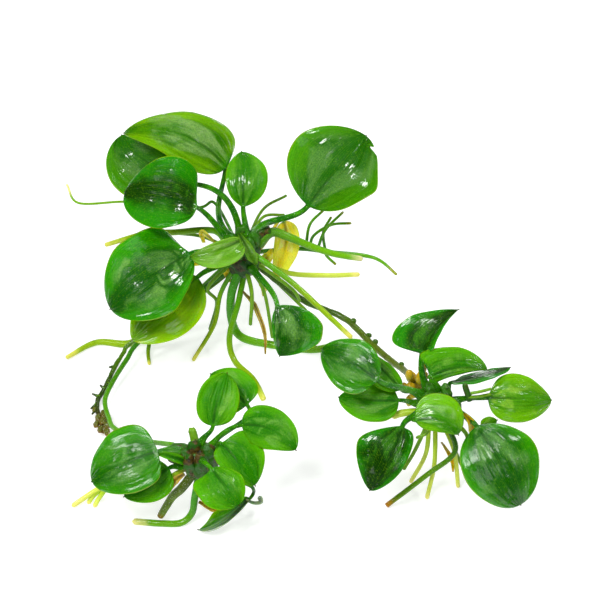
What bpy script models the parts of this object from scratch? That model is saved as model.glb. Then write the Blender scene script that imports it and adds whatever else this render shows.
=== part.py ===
"""Loose water plant: a mother rosette and two young rosettes grown from its runners.

Each rosette stands on its own stiff roots. Points are (right, away, height) in millimetres:
right and away count from the middle of the rosette's crown, height counts from the floor.
"""
import math

import bmesh
import bpy
from mathutils import Vector
from mathutils.bvhtree import BVHTree

MM = 0.001
# Gap between a piece and the crown that it grows from.
GAP = 0.3
# Share of its own radius that a start keeps clear of the crown, as it may leave at a slant.
CLEARANCE = 1.3
# Leaf blade: thickness along the midrib, and at the inner edge of the rim.
BLADE_THICK = 0.9
RIM_THICK = 0.5
# Where sections cross a blade and a short one, as shares of its length, and points across its half width.
BLADE_STATIONS = (0.0, 0.07, 0.19, 0.36, 0.54, 0.72, 0.88, 1.0)
SHORT_STATIONS = (0.0, 0.11, 0.31, 0.56, 0.82, 1.0)
SHORT_BLADE = 31.0
BLADE_ACROSS = (-1.0, -0.5, 0.0, 0.5, 1.0, 0.5, 0.0, -0.5)
PETIOLE_STATIONS = (0.0, 0.35, 0.7)
# Middle of each crown, (right, away, height), and its half sizes.
MOTHER = Vector((-28.0, 10.0, 50.0))
LEFT = Vector((-45.0, -112.0, 33.0))
RIGHT = Vector((62.0, -87.0, 43.0))
MOTHER_SIZE = (8.5, 8.0, 12.0)
LEFT_SIZE = (8.0, 7.0, 8.5)
RIGHT_SIZE = (8.0, 7.5, 9.5)
# How far the whole plant is moved so that the middle of its footprint is the origin.
CENTRE = Vector((4.7, 32.7, 0.0))

LEAF_GREEN = (0.06, 0.30, 0.01)
LEAF_YELLOW_GREEN = (0.20, 0.38, 0.01)
LEAF_YELLOW = (0.75, 0.50, 0.03)
ROOT_GREEN = (0.16, 0.34, 0.02)
ROOT_DARK = (0.08, 0.15, 0.02)
RUNNER_OLIVE = (0.10, 0.13, 0.02)
CROWN_BROWN = (0.12, 0.08, 0.03)
BUD_OLIVE = (0.36, 0.27, 0.03)


def clear_scene():
    """Empty the scene that Blender opens with."""
    for found in list(bpy.data.objects):
        bpy.data.objects.remove(found, do_unlink=True)


def make_material(name, colour, roughness):
    """A Principled material with one base colour."""
    made = bpy.data.materials.new(name)
    made.use_nodes = True
    shader = made.node_tree.nodes["Principled BSDF"]
    shader.inputs["Base Color"].default_value = (*colour, 1.0)
    shader.inputs["Roughness"].default_value = roughness
    shader.inputs["Metallic"].default_value = 0.0
    made.diffuse_color = (*colour, 1.0)
    return made


def add_object(name, data, colour, roughness=0.35):
    """Put mesh or curve data in the plant's collection, with a material of its own."""
    made = bpy.data.objects.new(name, data)
    data.materials.append(make_material(name, colour, roughness))
    if isinstance(data, bpy.types.Mesh):
        data.shade_smooth()
    plant.objects.link(made)
    return made


def as_mesh_object(source, name, colour):
    """Swap an object for a plain mesh of what its modifiers or curve make, caps welded."""
    bpy.context.view_layer.update()
    evaluated = source.evaluated_get(bpy.context.evaluated_depsgraph_get())
    mesh = bpy.data.meshes.new_from_object(evaluated)
    mesh.materials.clear()
    shape = bmesh.new()
    shape.from_mesh(mesh)
    bmesh.ops.remove_doubles(shape, verts=shape.verts, dist=0.01 * MM)
    shape.to_mesh(mesh)
    shape.free()
    bpy.data.objects.remove(source, do_unlink=True)
    return add_object(name, mesh, colour)


def fuse(body, pieces, colour):
    """Join pieces to the body that they grow from, as one closed solid."""
    name = body.name
    core = as_mesh_object(body, name + "_core", colour)
    joined = [as_mesh_object(piece, piece.name, colour) for piece in pieces]
    for piece in joined:
        join = core.modifiers.new("join", "BOOLEAN")
        join.operation = "UNION"
        join.solver = "EXACT"
        join.object = piece
    made = as_mesh_object(core, name, colour)
    for piece in joined:
        bpy.data.objects.remove(piece, do_unlink=True)
    return made


def world_point(crown, point):
    """Place in metres of a point given from a crown."""
    right, away, height = point
    return Vector((crown.x + right + CENTRE.x, crown.y + away + CENTRE.y, height)) * MM


def direction(azimuth, rise):
    """Unit direction: azimuth in degrees from right towards away, rise above level."""
    turn, lift = math.radians(azimuth), math.radians(rise)
    return Vector((math.cos(turn) * math.cos(lift), math.sin(turn) * math.cos(lift), math.sin(lift)))


def side_pair(along):
    """Two unit directions square to a direction and to each other."""
    first = along.cross(Vector((0, 0, 1)))
    if first.length < 0.1:
        first = along.cross(Vector((0, 1, 0)))
    first.normalize()
    return first, first.cross(along).normalized()


def crown_surface(crown, along, radius):
    """Point past the crown's surface, in a direction, where a round end of a radius just clears it."""
    first, second = side_pair(along)
    middle = world_point(crown, (0, 0, crown.z))
    reach = 0.0
    turns = [step * math.tau / 8 for step in range(8)]
    ring = [(first * math.cos(turn) + second * math.sin(turn)) * radius * CLEARANCE * MM for turn in turns]
    for offset in ring + [Vector()]:
        far = middle + offset + along * 60 * MM
        hit = crown_trees[crown.x].ray_cast(far, -along)[0]
        if hit:
            reach = max(reach, (hit - middle).dot(along))
    return middle + along * (reach + GAP * MM)


def smooth_route(points, steps):
    """Catmull-Rom curve through the points, with a number of steps in each span."""
    ends = [points[0] * 2 - points[1]] + points + [points[-1] * 2 - points[-2]]
    route = []
    for span in range(len(points) - 1):
        before, start, end, after = ends[span:span + 4]
        for step in range(steps):
            t = step / steps
            route.append(0.5 * (2 * start + (end - before) * t
                                + (2 * before - 5 * start + 4 * end - after) * t ** 2
                                + (3 * start - before - 3 * end + after) * t ** 3))
    return route + [points[-1]]


def tube(name, points, radii, colour, steps=2, blunt=0.55):
    """Round stem or root through the points, its radius running from the first value to the last."""
    route = smooth_route(points, steps)
    if blunt < 1:
        route.append(route[-1] + (route[-1] - route[-2]).normalized() * radii[-1] * 0.7 * MM)
    curve = bpy.data.curves.new(name, "CURVE")
    curve.dimensions = "3D"
    curve.bevel_depth = MM
    curve.bevel_resolution = 1
    curve.use_fill_caps = True
    spline = curve.splines.new("POLY")
    spline.points.add(len(route) - 1)
    for count, (point, place) in enumerate(zip(spline.points, route)):
        share = min(count / ((len(points) - 1) * steps), 1.0) * (len(radii) - 1)
        low = min(int(share), len(radii) - 2)
        point.co = (*place, 1.0)
        point.radius = radii[low] + (radii[low + 1] - radii[low]) * min(share - low, 1.0)
    spline.points[-1].radius = radii[-1] * blunt
    return add_object(name, curve, colour)


def root(name, crown, start, points, radii, colour=ROOT_GREEN, steps=2, fused=False, blunt=0.55,
         begin=None, end=None):
    """Root from a crown: start is (azimuth, rise) where it leaves, points are its way from there.

    A fused one starts inside the crown. begin is the first point of a branch, inside its parent.
    end is the crown that a runner grows into, with the (azimuth, rise) where it meets it.
    """
    along = direction(*start)
    first = world_point(crown, begin) if begin else crown_surface(crown, along, radii[0])
    if fused:
        first -= along * 4 * MM
    way = [first] + [world_point(crown, point) for point in points]
    if end:
        way.append(crown_surface(end[0], direction(*end[1]), radii[-1]))
    return tube(name, way, radii, colour, steps, blunt)


def lump(name, crown, middle, size, fine=2):
    """Egg-shaped knob or bud."""
    shape = bmesh.new()
    bmesh.ops.create_icosphere(shape, subdivisions=fine, radius=MM)
    for vertex in shape.verts:
        vertex.co = Vector([vertex.co[axis] * size[axis] for axis in range(3)]) + world_point(crown, middle)
    mesh = bpy.data.meshes.new(name)
    shape.to_mesh(mesh)
    shape.free()
    return add_object(name, mesh, BUD_OLIVE)


def cut_at_floor(source, colour):
    """Press a piece that lies on the floor flat, by cutting off what is below the floor."""
    made = as_mesh_object(source, source.name, colour)
    shape = bmesh.new()
    shape.from_mesh(made.data)
    geometry = shape.verts[:] + shape.edges[:] + shape.faces[:]
    cut = bmesh.ops.bisect_plane(shape, geom=geometry, dist=1e-7, plane_co=(0, 0, 0),
                                 plane_no=(0, 0, 1), clear_inner=True)
    rim = [item for item in cut["geom_cut"] if isinstance(item, bmesh.types.BMEdge)]
    bmesh.ops.holes_fill(shape, edges=rim)
    bmesh.ops.recalc_face_normals(shape, faces=shape.faces)
    shape.to_mesh(made.data)
    shape.free()
    return made


def outline(share, widest, blunt):
    """Half width of a blade at a share of its length: a sine hump, skewed and made fuller."""
    return math.sin(math.pi * min(share, 1.0) ** widest) ** blunt if 0 < share < 1 else 0.0


def bulge(bulges, side, share):
    """How far the rim stands out past its outline: humps, each (side, highest share, reach, spread)."""
    return sum(reach * math.exp(-((share - highest) / spread) ** 2)
               for on_side, highest, reach, spread in bulges if on_side == side)


def bezier_two(start, middle, end, t):
    """Point and direction on the curve through three points, middle at half way."""
    handle = middle * 2 - (start + end) * 0.5
    place = start * (1 - t) ** 2 + handle * 2 * t * (1 - t) + end * t ** 2
    return place, ((handle - start) * (1 - t) + (end - handle) * t).normalized()


def ring_offsets(first, second, radius):
    """Eight points round a petiole, in the order that the blade's sections use."""
    turns = (180, 135, 90, 45, 0, -45, -90, -135)
    return [(first * math.cos(math.radians(a)) + second * math.sin(math.radians(a))) * radius * MM
            for a in turns]


def leaf(name, crown, start, base, middle, tip, widths, face, cup=(0, 0), fold=(0, 0),
         petiole=(1.7, 1.1), sway=(0, 0, 0), widest=0.85, blunt=0.6, lobe=(1.5, 1.5), bulges=(),
         colour=LEAF_GREEN):
    """Leaf with its petiole, as one loft.

    base, middle and tip lie on the midrib. sway pushes the middle of the petiole aside. widths are
    the blade's left and right half widths, seen from above towards the tip. face is roughly where
    the upper side looks. cup lifts the left and right rims in a round hollow (negative: lets them
    droop), fold lifts them in a V.
    lobe is how far the left and right shoulders of the blade are swept back. widest under 1 moves
    the widest place towards the base, and a smaller blunt makes the outline fuller. bulges are
    corners of the rim, with 0 for the left side and 1 for the right one.
    """
    base, middle, tip = (world_point(crown, point) for point in (base, middle, tip))
    along = direction(*start)
    stem_start = crown_surface(crown, along, petiole[0])
    face = Vector(face).normalized()
    in_direction = bezier_two(base, middle, tip, 0.0)[1]
    stem_length = (base - stem_start).length
    handle_out = stem_start + along * stem_length * 0.4
    handle_in = base - in_direction * stem_length * 0.35
    sway = Vector(sway) * MM
    rings = []
    for share in PETIOLE_STATIONS:
        back = 1 - share
        place = (stem_start * back ** 3 + handle_out * 3 * share * back ** 2
                 + handle_in * 3 * share ** 2 * back + base * share ** 3 + sway * 4 * share * back)
        heading = ((handle_out - stem_start) * back ** 2 + (handle_in - handle_out) * 2 * share * back
                   + (base - handle_in) * share ** 2 + sway * 4 / 3 * (back - share)).normalized()
        first = heading.cross(face).normalized()
        radius = petiole[0] + (petiole[1] - petiole[0]) * share
        rings.append([place + offset for offset in ring_offsets(first, first.cross(heading), radius)])
    wide = max(outline(step / 40, widest, blunt) for step in range(41))
    blade_length = (base - middle).length + (middle - tip).length
    for share in BLADE_STATIONS if blade_length > SHORT_BLADE * MM else SHORT_STATIONS:
        place, heading = bezier_two(base, middle, tip, share)
        right = heading.cross(face).normalized()
        up = right.cross(heading)
        spread = outline(share, widest, blunt) / wide
        if share == 0:
            rings.append([place + offset for offset in ring_offsets(right, up, petiole[1])])
            continue
        ring = []
        for count, across in enumerate(BLADE_ACROSS):
            side = 1 if across > 0 else 0
            half = max(widths[side] * spread + bulge(bulges, side, share), 0.35)
            lift = cup[side] * (across * spread) ** 2 + fold[side] * abs(across) * spread
            swept = -lobe[side] * across ** 2 * math.sin(math.pi * min(share / 0.5, 1.0))
            thick = RIM_THICK if abs(across) == 0.5 else BLADE_THICK
            thick = 0.0 if abs(across) == 1.0 else thick * (0.5 if count < 5 else -0.5)
            if share == 1.0:
                half, thick = 0.3, thick * 0.5
            ring.append(place + (right * half * across + up * (lift + thick) + heading * swept) * MM)
        rings.append(ring)
    return loft(name, rings, colour)


def loft(name, rings, colour):
    """Closed solid through rings of the same number of points, flat at both ends."""
    size = len(rings[0])
    points = [point for ring in rings for point in ring]
    faces = [tuple(range(size)), tuple(range(len(points) - 1, len(points) - 1 - size, -1))]
    for row in range(len(rings) - 1):
        for column in range(size):
            here, beside = row * size + column, row * size + (column + 1) % size
            faces.append((here, here + size, beside + size, beside))
    mesh = bpy.data.meshes.new(name)
    mesh.from_pydata(points, [], faces)
    shape = bmesh.new()
    shape.from_mesh(mesh)
    bmesh.ops.recalc_face_normals(shape, faces=shape.faces)
    shape.to_mesh(mesh)
    shape.free()
    return add_object(name, mesh, colour)


def make_crown(name, crown, size, lobes=()):
    """Knobby stem base: an egg shape with low swellings, and any (middle, size) lobes joined to it."""
    shape = bmesh.new()
    bmesh.ops.create_uvsphere(shape, u_segments=12, v_segments=8, radius=1.0)
    for vertex in shape.verts:
        x, y, z = vertex.co
        swell = 1 + 0.06 * math.sin(5 * x + crown.x) * math.cos(4 * y) + 0.05 * math.sin(6 * z + 2 * x)
        vertex.co = Vector((x * size[0], y * size[1], z * size[2])) * swell * MM
        vertex.co += world_point(crown, (0, 0, crown.z))
    mesh = bpy.data.meshes.new(name)
    shape.to_mesh(mesh)
    shape.free()
    made = add_object(name, mesh, CROWN_BROWN)
    if lobes:
        made = fuse(made, [lump(name + "_lobe", crown, *lobe) for lobe in lobes], CROWN_BROWN)
    solid = bmesh.new()
    solid.from_mesh(made.data)
    crown_trees[crown.x] = BVHTree.FromBMesh(solid)
    solid.free()
    return made


clear_scene()
plant = bpy.data.collections.new("anubias")
bpy.context.scene.collection.children.link(plant)
crown_trees = {}

# Crowns: the short upright stems that everything grows from.
mother_crown = make_crown("mother_crown", MOTHER, MOTHER_SIZE)
left_crown = make_crown("left_crown", LEFT, LEFT_SIZE, [((-9, 3, 35), (6, 5, 5))])
right_crown = make_crown("right_crown", RIGHT, RIGHT_SIZE)

# Leaves of the mother rosette.
leaf("mother_leaf_back_left", MOTHER, (128, 42), (-9, 31, 82), (-31, 36, 99), (-60, 46, 92), (13, 19.2),
     (0, -0.25, 0.97), cup=(-6, -6), widest=0.65, lobe=(1, 10), sway=(-6, 0, -3),
     bulges=((1, 0.28, 2.2, 0.2),))
leaf("mother_leaf_far_left", MOTHER, (108, 60), (-32, 33, 70), (-53, 46, 77), (-63, 59, 81), (20, 13),
     (-0.2, -0.5, 0.85), cup=(-3, -1), sway=(0, -2, 8.5))
leaf("mother_leaf_left", MOTHER, (165, 50), (-23, 7, 76), (-38, 6, 83), (-58, 15, 79), (18, 21),
     (0, -0.5, 0.87), cup=(3, 3), widest=0.95, lobe=(-4, 3), blunt=0.5)
leaf("mother_leaf_front_left", MOTHER, (200, 25), (-26, -11, 61), (-44, -29.3, 61.5), (-63, -37.5, 49),
     (20, 23.5), (-0.1, -0.6, 0.8), cup=(-2, -2), widest=0.95, lobe=(-5, 10), blunt=0.5)
leaf("mother_leaf_yellowing", MOTHER, (205, -5), (-23, -9, 44), (-38, -25, 38), (-54, -36, 27),
     (16, 15), (0, -0.6, 0.8), cup=(-2, -2), colour=LEAF_YELLOW_GREEN)
leaf("mother_leaf_back", MOTHER, (65, 76), (0, 11, 73), (0, 19, 84), (-1, 33, 90), (8.5, 12.3),
     (0, -0.75, 0.65), cup=(1, 1), widest=1.05, lobe=(1, 1))
leaf("mother_leaf_right", MOTHER, (45, 58), (32, 15, 70.3), (46.7, 31, 81.3), (61.5, 54, 84.3), (26, 19),
     (0.1, -0.55, 0.83), cup=(-3, -3), petiole=(1.8, 1.3), widest=1.05, blunt=0.5,
     bulges=((1, 0.6, 3, 0.15),))
leaf("mother_leaf_young", MOTHER, (-110, 70), (0, -6, 66), (-12, -14, 66), (-25, -14, 62),
     (9, 4), (0, -0.7, 0.7), cup=(2, 1), petiole=(1.2, 0.8))
leaf("mother_leaf_front", MOTHER, (-58, -10), (17, -28, 42), (18, -38, 35), (18, -42, 22), (21.2, 4),
     (-0.1, -0.85, 0.5), fold=(-2, -3), petiole=(1.6, 1.2), blunt=0.5, lobe=(-2, 1),
     bulges=((0, 0.75, 2, 0.15),))
leaf("mother_leaf_withered", MOTHER, (32, 10), (20, 19, 57), (20.5, 13.5, 45), (15, 9.5, 27), (7, 5.8),
     (0, -0.9, 0.3), fold=(2, 2), petiole=(1.0, 0.8), colour=LEAF_YELLOW)

# Roots of the mother rosette, the thin ones joined to the crown.
root("mother_root_right", MOTHER, (18, 38),
     [(14, 8, 59), (22, 7, 57), (33, 7, 51), (45, 8, 45), (59, 10, 40)], (2.6, 2.3, 1.9, 1.7, 1.4))
sprig = [
    root("twig_1", MOTHER, (0, 0), [(33, 32, 44), (40, 39, 48)], (0.8, 0.7), begin=(31, 26, 33), steps=1),
    root("twig_2", MOTHER, (0, 0), [(35, 27, 41), (44, 32, 44), (54, 31, 46)], (0.8, 0.7),
         begin=(33, 26, 33), steps=1),
    root("twig_3", MOTHER, (0, 0), [(41, 28, 44), (50, 35, 50)], (0.8, 0.7), begin=(37, 27, 32), steps=1),
    root("twig_4", MOTHER, (0, 0), [(40, 30, 41), (44, 37, 45)], (0.8, 0.7), begin=(41, 27, 31), steps=1),
    root("twig_5", MOTHER, (0, 0), [(42, 21, 32), (46, 14, 33)], (0.8, 0.7), begin=(41, 27, 30), steps=1),
]
right_low = root("mother_root_right_low", MOTHER, (52, -18), [(27, 25, 34), (43, 27, 30), (61, 29, 26),
                 (70, 28, 23), (78, 22, 19)], (1.2, 1.1, 0.7), colour=ROOT_DARK)
fuse(right_low, sprig, ROOT_DARK)
root("mother_root_right_pale", MOTHER, (36, -36), [(22, 6, 34), (41, 11, 28), (58, 14, 26)],
     (1.3, 1.3, 1.2), steps=3)
root("mother_root_front_right", MOTHER, (-46, 40), [(12, -10, 54), (24, -16, 47), (35, -23, 40),
     (44, -29, 34), (53, -35, 28)], (1.5, 1.4, 1.2))
root("mother_root_left", MOTHER, (150, 15), [(-15, 14, 55), (-36, 20, 49), (-51, 25, 44), (-72, 28, 34)],
     (1.7, 1.6, 1.2), steps=3)
root("mother_root_far_left", MOTHER, (115, 20),
     [(-15, 32, 58), (-23, 34, 54), (-44, 43, 48), (-64, 51, 44), (-89, 60, 36), (-95.5, 68, 42)],
     (0.8, 0.7, 0.6), colour=ROOT_DARK, blunt=0.7)
front = root("mother_root_front", MOTHER, (-130, -60),
             [(-6.5, -6.5, 30), (-6.8, -6.5, 14), (-2.6, -9.2, 4.7), (9, -11.5, 1.7), (35, -16, 1.5),
              (50, -10, 1.4)],
             (2.2, 2.1, 1.8))
cut_at_floor(front, ROOT_GREEN)
viewer = root("mother_root_to_viewer", MOTHER, (-95, -74),
              [(-3, -9, 27), (-7.5, -18, 12), (-5, -25, 2.4), (4.5, -37, 1.2), (10, -51, 1.2)],
              (1.5, 1.5, 1.5))
cut_at_floor(viewer, ROOT_GREEN)
slant = root("mother_root_front_left", MOTHER, (-152, -48),
             [(-12, -6, 30), (-15.5, -13.5, 16), (-26, -23, 0.8)], (1.2, 1.2, 1.0))
cut_at_floor(slant, ROOT_GREEN)
floor_left = root("mother_root_floor_left", MOTHER, (152, -40),
                  [(-28, 1, 20), (-44, -6, 7), (-59, -12, 2), (-76, -11, 1.7), (-90, -22, 1.7)],
                  (1.6, 2.0, 1.9, 1.1), steps=3)
stub = root("stub", MOTHER, (0, 0), [(-49, -18, 2.5), (-48, -26, 1)], (1.1, 0.9), begin=(-48, -9, 5))
cut_at_floor(fuse(floor_left, [stub], ROOT_GREEN), ROOT_GREEN)
rootlets = [
    root("rootlet_1", MOTHER, (186, -25), [(-18, -5, 34), (-14, -5, 24), (-18, -8, 8)], (1.0, 0.8),
         steps=1, fused=True),
    root("rootlet_2", MOTHER, (-75, -45), [(4, -10, 34), (3, -13, 16)], (1.2, 0.9), steps=1, fused=True),
    root("rootlet_3", MOTHER, (-50, -45), [(10, -8, 34), (14, -14, 8)], (1.0, 0.8), steps=1, fused=True),
    root("rootlet_4", MOTHER, (-30, -5), [(16, -6, 42), (25, -10, 36), (28, -11, 30)], (1.0, 0.8),
         steps=1, fused=True),
    root("rootlet_5", MOTHER, (4, -28), [(16, 1.5, 32), (31, -4, 17.5)], (0.9, 0.8), steps=1, fused=True),
    root("rootlet_6", MOTHER, (82, 30), [(9, 24, 60), (21, 36, 60)], (0.8, 0.7), steps=1, fused=True),
    root("rootlet_7", MOTHER, (60, 25), [(9, 18, 60), (20, 23, 58)], (0.8, 0.7), steps=1, fused=True),
    root("rootlet_8", MOTHER, (135, -8), [(-21, 20, 46), (-40, 27, 43)], (0.9, 0.8), steps=1, fused=True),
]
fuse(mother_crown, rootlets, CROWN_BROWN)

# Leaves of the left rosette.
leaf("left_leaf_outer", LEFT, (178, 35), (-18.5, 0, 39.8), (-33, -5, 37.6), (-48.2, -7, 27.8), (14, 17),
     (-0.2, -0.5, 0.85), cup=(-2, -2), lobe=(3, 3), blunt=0.5)
leaf("left_leaf_outer_low", LEFT, (190, -5), (-14, -1, 30), (-23, -6, 27), (-34, -9, 20),
     (10, 8), (-0.1, -0.6, 0.8), cup=(-1, -1), petiole=(1.3, 0.9))
leaf("left_leaf_back", LEFT, (80, 60), (6, 10, 46), (8, 19, 54), (12, 29, 60), (9, 10), (0, -0.7, 0.7),
     cup=(1, 1), petiole=(1.4, 0.9), widest=0.95, blunt=0.5)
leaf("left_leaf_back_low", LEFT, (55, 25), (21, 23, 46), (13, 30, 50), (4, 39, 50), (9, 10.6),
     (0, -0.5, 0.85), petiole=(1.2, 0.9), lobe=(3, 3))
leaf("left_leaf_right", LEFT, (30, 50), (19, 9, 47.5), (32, 8, 45.7), (43, 2, 39), (10.6, 9.5),
     (0.1, -0.5, 0.85), cup=(-2, -1), petiole=(1.4, 0.9))
leaf("left_leaf_front_right", LEFT, (5, 35), (10, 1, 44), (18, -6, 39), (25, -12, 31), (13.5, 8),
     (0.2, -0.4, 0.9), cup=(1, 0), petiole=(1.2, 0.9), lobe=(3, 3))
leaf("left_leaf_front", LEFT, (-75, 50), (6.5, -15, 44.5), (13, -24, 43), (18.5, -29, 37.5), (8.5, 12),
     (0, -0.6, 0.8), cup=(1, 1), petiole=(1.2, 0.9), lobe=(-3, 5), blunt=0.5)
folded = leaf("left_leaf_folded", LEFT, (-25, -20), (22, 2, 6), (9, -10.2, 0.7), (-1, -13.5, 2),
              (4, 4), (0, -0.2, 1), fold=(9, 9), petiole=(1.0, 0.8))
hook = root("hook", LEFT, (0, 0), [(23.6, -1.4, 7), (27, -1, 7), (26.5, 1.2, 7.8)], (0.6, 1.2),
            begin=(20, 1, 6.5))
fuse(folded, [hook], LEAF_GREEN)

# Roots of the left rosette.
left_thin = [
    root("rootlet_9", LEFT, (110, 20), [(-3, 9, 42), (-4, 10, 43.4)], (2.0, 1.8), steps=1, fused=True),
    root("rootlet_10", LEFT, (-10, -55), [(3, -1, 14), (5, -1, 7)], (1.1, 0.7), steps=1, fused=True),
]
fuse(left_crown, left_thin, CROWN_BROWN)
root("left_root_thick", LEFT, (-145, -52), [(-8.6, -4.6, 20.4), (-13.3, -4.5, 14), (-19, -6.5, 3.4)],
     (2.2, 2.1, 1.6), steps=3)
left_floor = root("left_root_floor", LEFT, (-105, -65),
                  [(-2.7, -5, 15), (-4.5, -6, 5), (-9.5, -8.6, 1.4), (-18, -8.8, 1.2), (-31, -7.6, 1.2)],
                  (1.7, 1.6, 1.5))
cut_at_floor(left_floor, ROOT_GREEN)
far = root("left_root_far", LEFT, (178, -35), [(-23, 1, 16), (-40, 8, 9), (-47, 8, 7), (-60, 2.3, 0.9)],
           (1.2, 1.3, 1.2), steps=3)
tips = [
    root("tip_1", LEFT, (0, 0), [(-51, 6, 3), (-53, 4, 0.8)], (1.1, 1.1), begin=(-46, 8, 7), steps=1),
    root("tip_2", LEFT, (0, 0), [(-48, 5, 3), (-50, 2, 0.8)], (1.1, 1.1), begin=(-44, 8, 7.5), steps=1),
]
cut_at_floor(fuse(far, tips, ROOT_GREEN), ROOT_GREEN)

# Leaves of the right rosette.
leaf("right_leaf_left", RIGHT, (168, 38), (-27, 3, 57.3), (-39, 9, 62.3), (-52, 21, 59.3), (13, 12),
     (-0.1, -0.6, 0.8), cup=(-2, -2), blunt=0.55, lobe=(1.5, -1.5))
leaf("right_leaf_left_behind", RIGHT, (140, 25), (-16, 7, 47), (-24, 18, 49), (-31, 30, 47), (8, 4.5),
     (0, -0.4, 0.9), petiole=(1.1, 0.8))
leaf("right_leaf_left_low", RIGHT, (172, 5), (-17, 4, 43), (-30, 5, 42), (-44, 12, 37), (10, 9),
     (0, -0.5, 0.85), cup=(-1, -1), petiole=(1.3, 0.9))
leaf("right_leaf_back", RIGHT, (125, 40), (-6.5, 16, 61.5), (-1, 27.5, 65), (11.7, 41, 65.5), (14.8, 5.5),
     (0, -0.2, 0.97), fold=(2, 3), widest=0.5, blunt=0.9, lobe=(3.5, 2))
leaf("right_leaf_back_middle", RIGHT, (85, 80), (-3, 5, 57.6), (11, 9, 59.5), (23, 9, 57.5), (11.4, 4),
     (0, -0.6, 0.8), cup=(-2, -1), petiole=(1.3, 0.9), widest=0.48, blunt=0.7, lobe=(6.5, 5))
leaf("right_leaf_edge_on", RIGHT, (45, 35), (7, 7, 51.5), (20, 8, 54.3), (34, 14, 54.3), (7, 7),
     (0, 0.45, 0.9), petiole=(1.1, 0.8))
leaf("right_leaf_right", RIGHT, (5, 20), (23.5, 0, 48.5), (37.7, -2, 50.2), (52.5, 2, 45.2), (12, 11),
     (0.1, -0.5, 0.85), cup=(-1, -1), petiole=(1.4, 1.0))
leaf("right_leaf_centre", RIGHT, (-120, 60), (-10.5, -16, 50.5), (0.5, -18, 52.7), (8.5, -20.3, 46),
     (12, 5.5), (0, -0.6, 0.8), cup=(-1, -1), petiole=(1.1, 0.8))
leaf("right_leaf_front_left", RIGHT, (-150, 0), (-16, -12, 42), (-22, -24, 34), (-30.3, -28.5, 18),
     (7.5, 16.5), (-0.2, -0.75, 0.6), cup=(-2, -2), widest=0.95, lobe=(5, 0))
leaf("right_leaf_front_right", RIGHT, (-25, 5), (18, -12, 42), (27, -29, 37), (37, -38, 19), (18.6, 17),
     (0.1, -0.7, 0.7), cup=(-3, -3), widest=1.05, blunt=0.45, lobe=(0, 1.5))
leaf("right_leaf_small", RIGHT, (-5, -12), (20.5, -7.5, 37.5), (24, -6.5, 39), (27.5, -5.5, 39.8), (3, 3),
     (0, -0.6, 0.8), petiole=(0.8, 0.6), lobe=(0.5, 0.5))

# Roots of the right rosette.
right_thin = [
    root("rootlet_11", RIGHT, (-120, -15), [(-4, -10, 37), (-9, -11, 34)], (0.9, 0.7), steps=1, fused=True),
    root("rootlet_12", RIGHT, (-125, -30), [(-9, -9, 24), (-14, -12, 14)], (1.0, 0.8), steps=1, fused=True),
    root("rootlet_13", RIGHT, (0, -45), [(10, -1, 16), (14, -4, 7)], (1.1, 0.8), steps=1, fused=True),
    root("rootlet_14", RIGHT, (-50, -12), [(13, -12, 38), (14, -15, 28)], (1.1, 0.8), steps=1, fused=True),
]
fuse(right_crown, right_thin, CROWN_BROWN)
left_leg = root("right_root_left", RIGHT, (-135, -64), [(-4, -8, 20), (-10, -8, 0.8)], (1.1, 1.0), steps=3)
cut_at_floor(left_leg, ROOT_GREEN)
front_leg = root("right_root_front", RIGHT, (-90, -70), [(0, -11, 16), (-3, -18, 0.8)], (1.1, 1.0), steps=3)
cut_at_floor(front_leg, ROOT_GREEN)
stalk = root("right_stalk_cut", RIGHT, (-48, -38), [(9, -11, 25), (-4, -16, 14), (-22, -23, 1.1)], (1.2, 1.2),
             steps=3, colour=ROOT_DARK, blunt=1.0)
cut_at_floor(stalk, ROOT_DARK)
pale_leg = root("right_root_pale", RIGHT, (-25, -68), [(9, -8, 22), (12, -11, 0.8)], (1.1, 1.0), steps=3)
cut_at_floor(pale_leg, ROOT_GREEN)

# Runners, with the knobs and buds that grow on them.
runner = root("right_runner", MOTHER, (-12, -35), [(19, -2, 33), (31, -8, 27), (47, -14, 23.5),
              (54, -20, 22.8), (63, -34, 22.8), (72, -50, 26.5), (78, -64, 33), (80, -77, 39.5)],
              (1.4, 1.6, 1.6, 1.5), colour=RUNNER_OLIVE, blunt=1.0, end=(RIGHT, (120, 8)))
buds = [
    lump("knob_1", MOTHER, (54.6, -19.4, 24.4), (1.5, 1.5, 1.5), fine=1),
    lump("knob_2", MOTHER, (62, -29.4, 23.9), (1.4, 1.4, 1.4), fine=1),
    lump("knob_3", MOTHER, (65, -34.6, 24.2), (1.5, 1.5, 1.5), fine=1),
    lump("knob_4", MOTHER, (76.5, -57.5, 31.2), (1.4, 1.4, 1.4), fine=1),
    lump("bud_1", RIGHT, (-10, 19, 42.6), (2.2, 2.4, 3.2), fine=2),
    lump("bud_2", RIGHT, (-11, 14, 41), (2.6, 2.4, 3.0), fine=2),
    lump("bud_3", RIGHT, (-6.5, 15.5, 45.5), (2.2, 2.2, 4.2), fine=2),
]
fuse(runner, buds, RUNNER_OLIVE)
root("left_runner", MOTHER, (178, -52), [(-32, -7, 24), (-53.3, -22.2, 12), (-58.3, -30.7, 9),
     (-63.1, -41.4, 7.5), (-66.6, -52.8, 7), (-66.9, -60.1, 7.2), (-64.1, -70.8, 9), (-59.8, -82.3, 13),
     (-46, -98, 22)], (1.2, 1.2), blunt=1.0, end=(LEFT, (150, 15)))
bud_stalk = root("bud_stalk", MOTHER, (135, -62), [(-37, -10, 18), (-57.4, -18, 8), (-61.2, -22.9, 5.2),
                 (-64.8, -30.4, 3.4), (-67.1, -39.3, 3), (-69.3, -47.7, 3), (-71.2, -53.4, 3.2),
                 (-71, -60, 3.5), (-69, -66, 4)], (0.9, 1.2, 1.2), colour=RUNNER_OLIVE)
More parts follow.
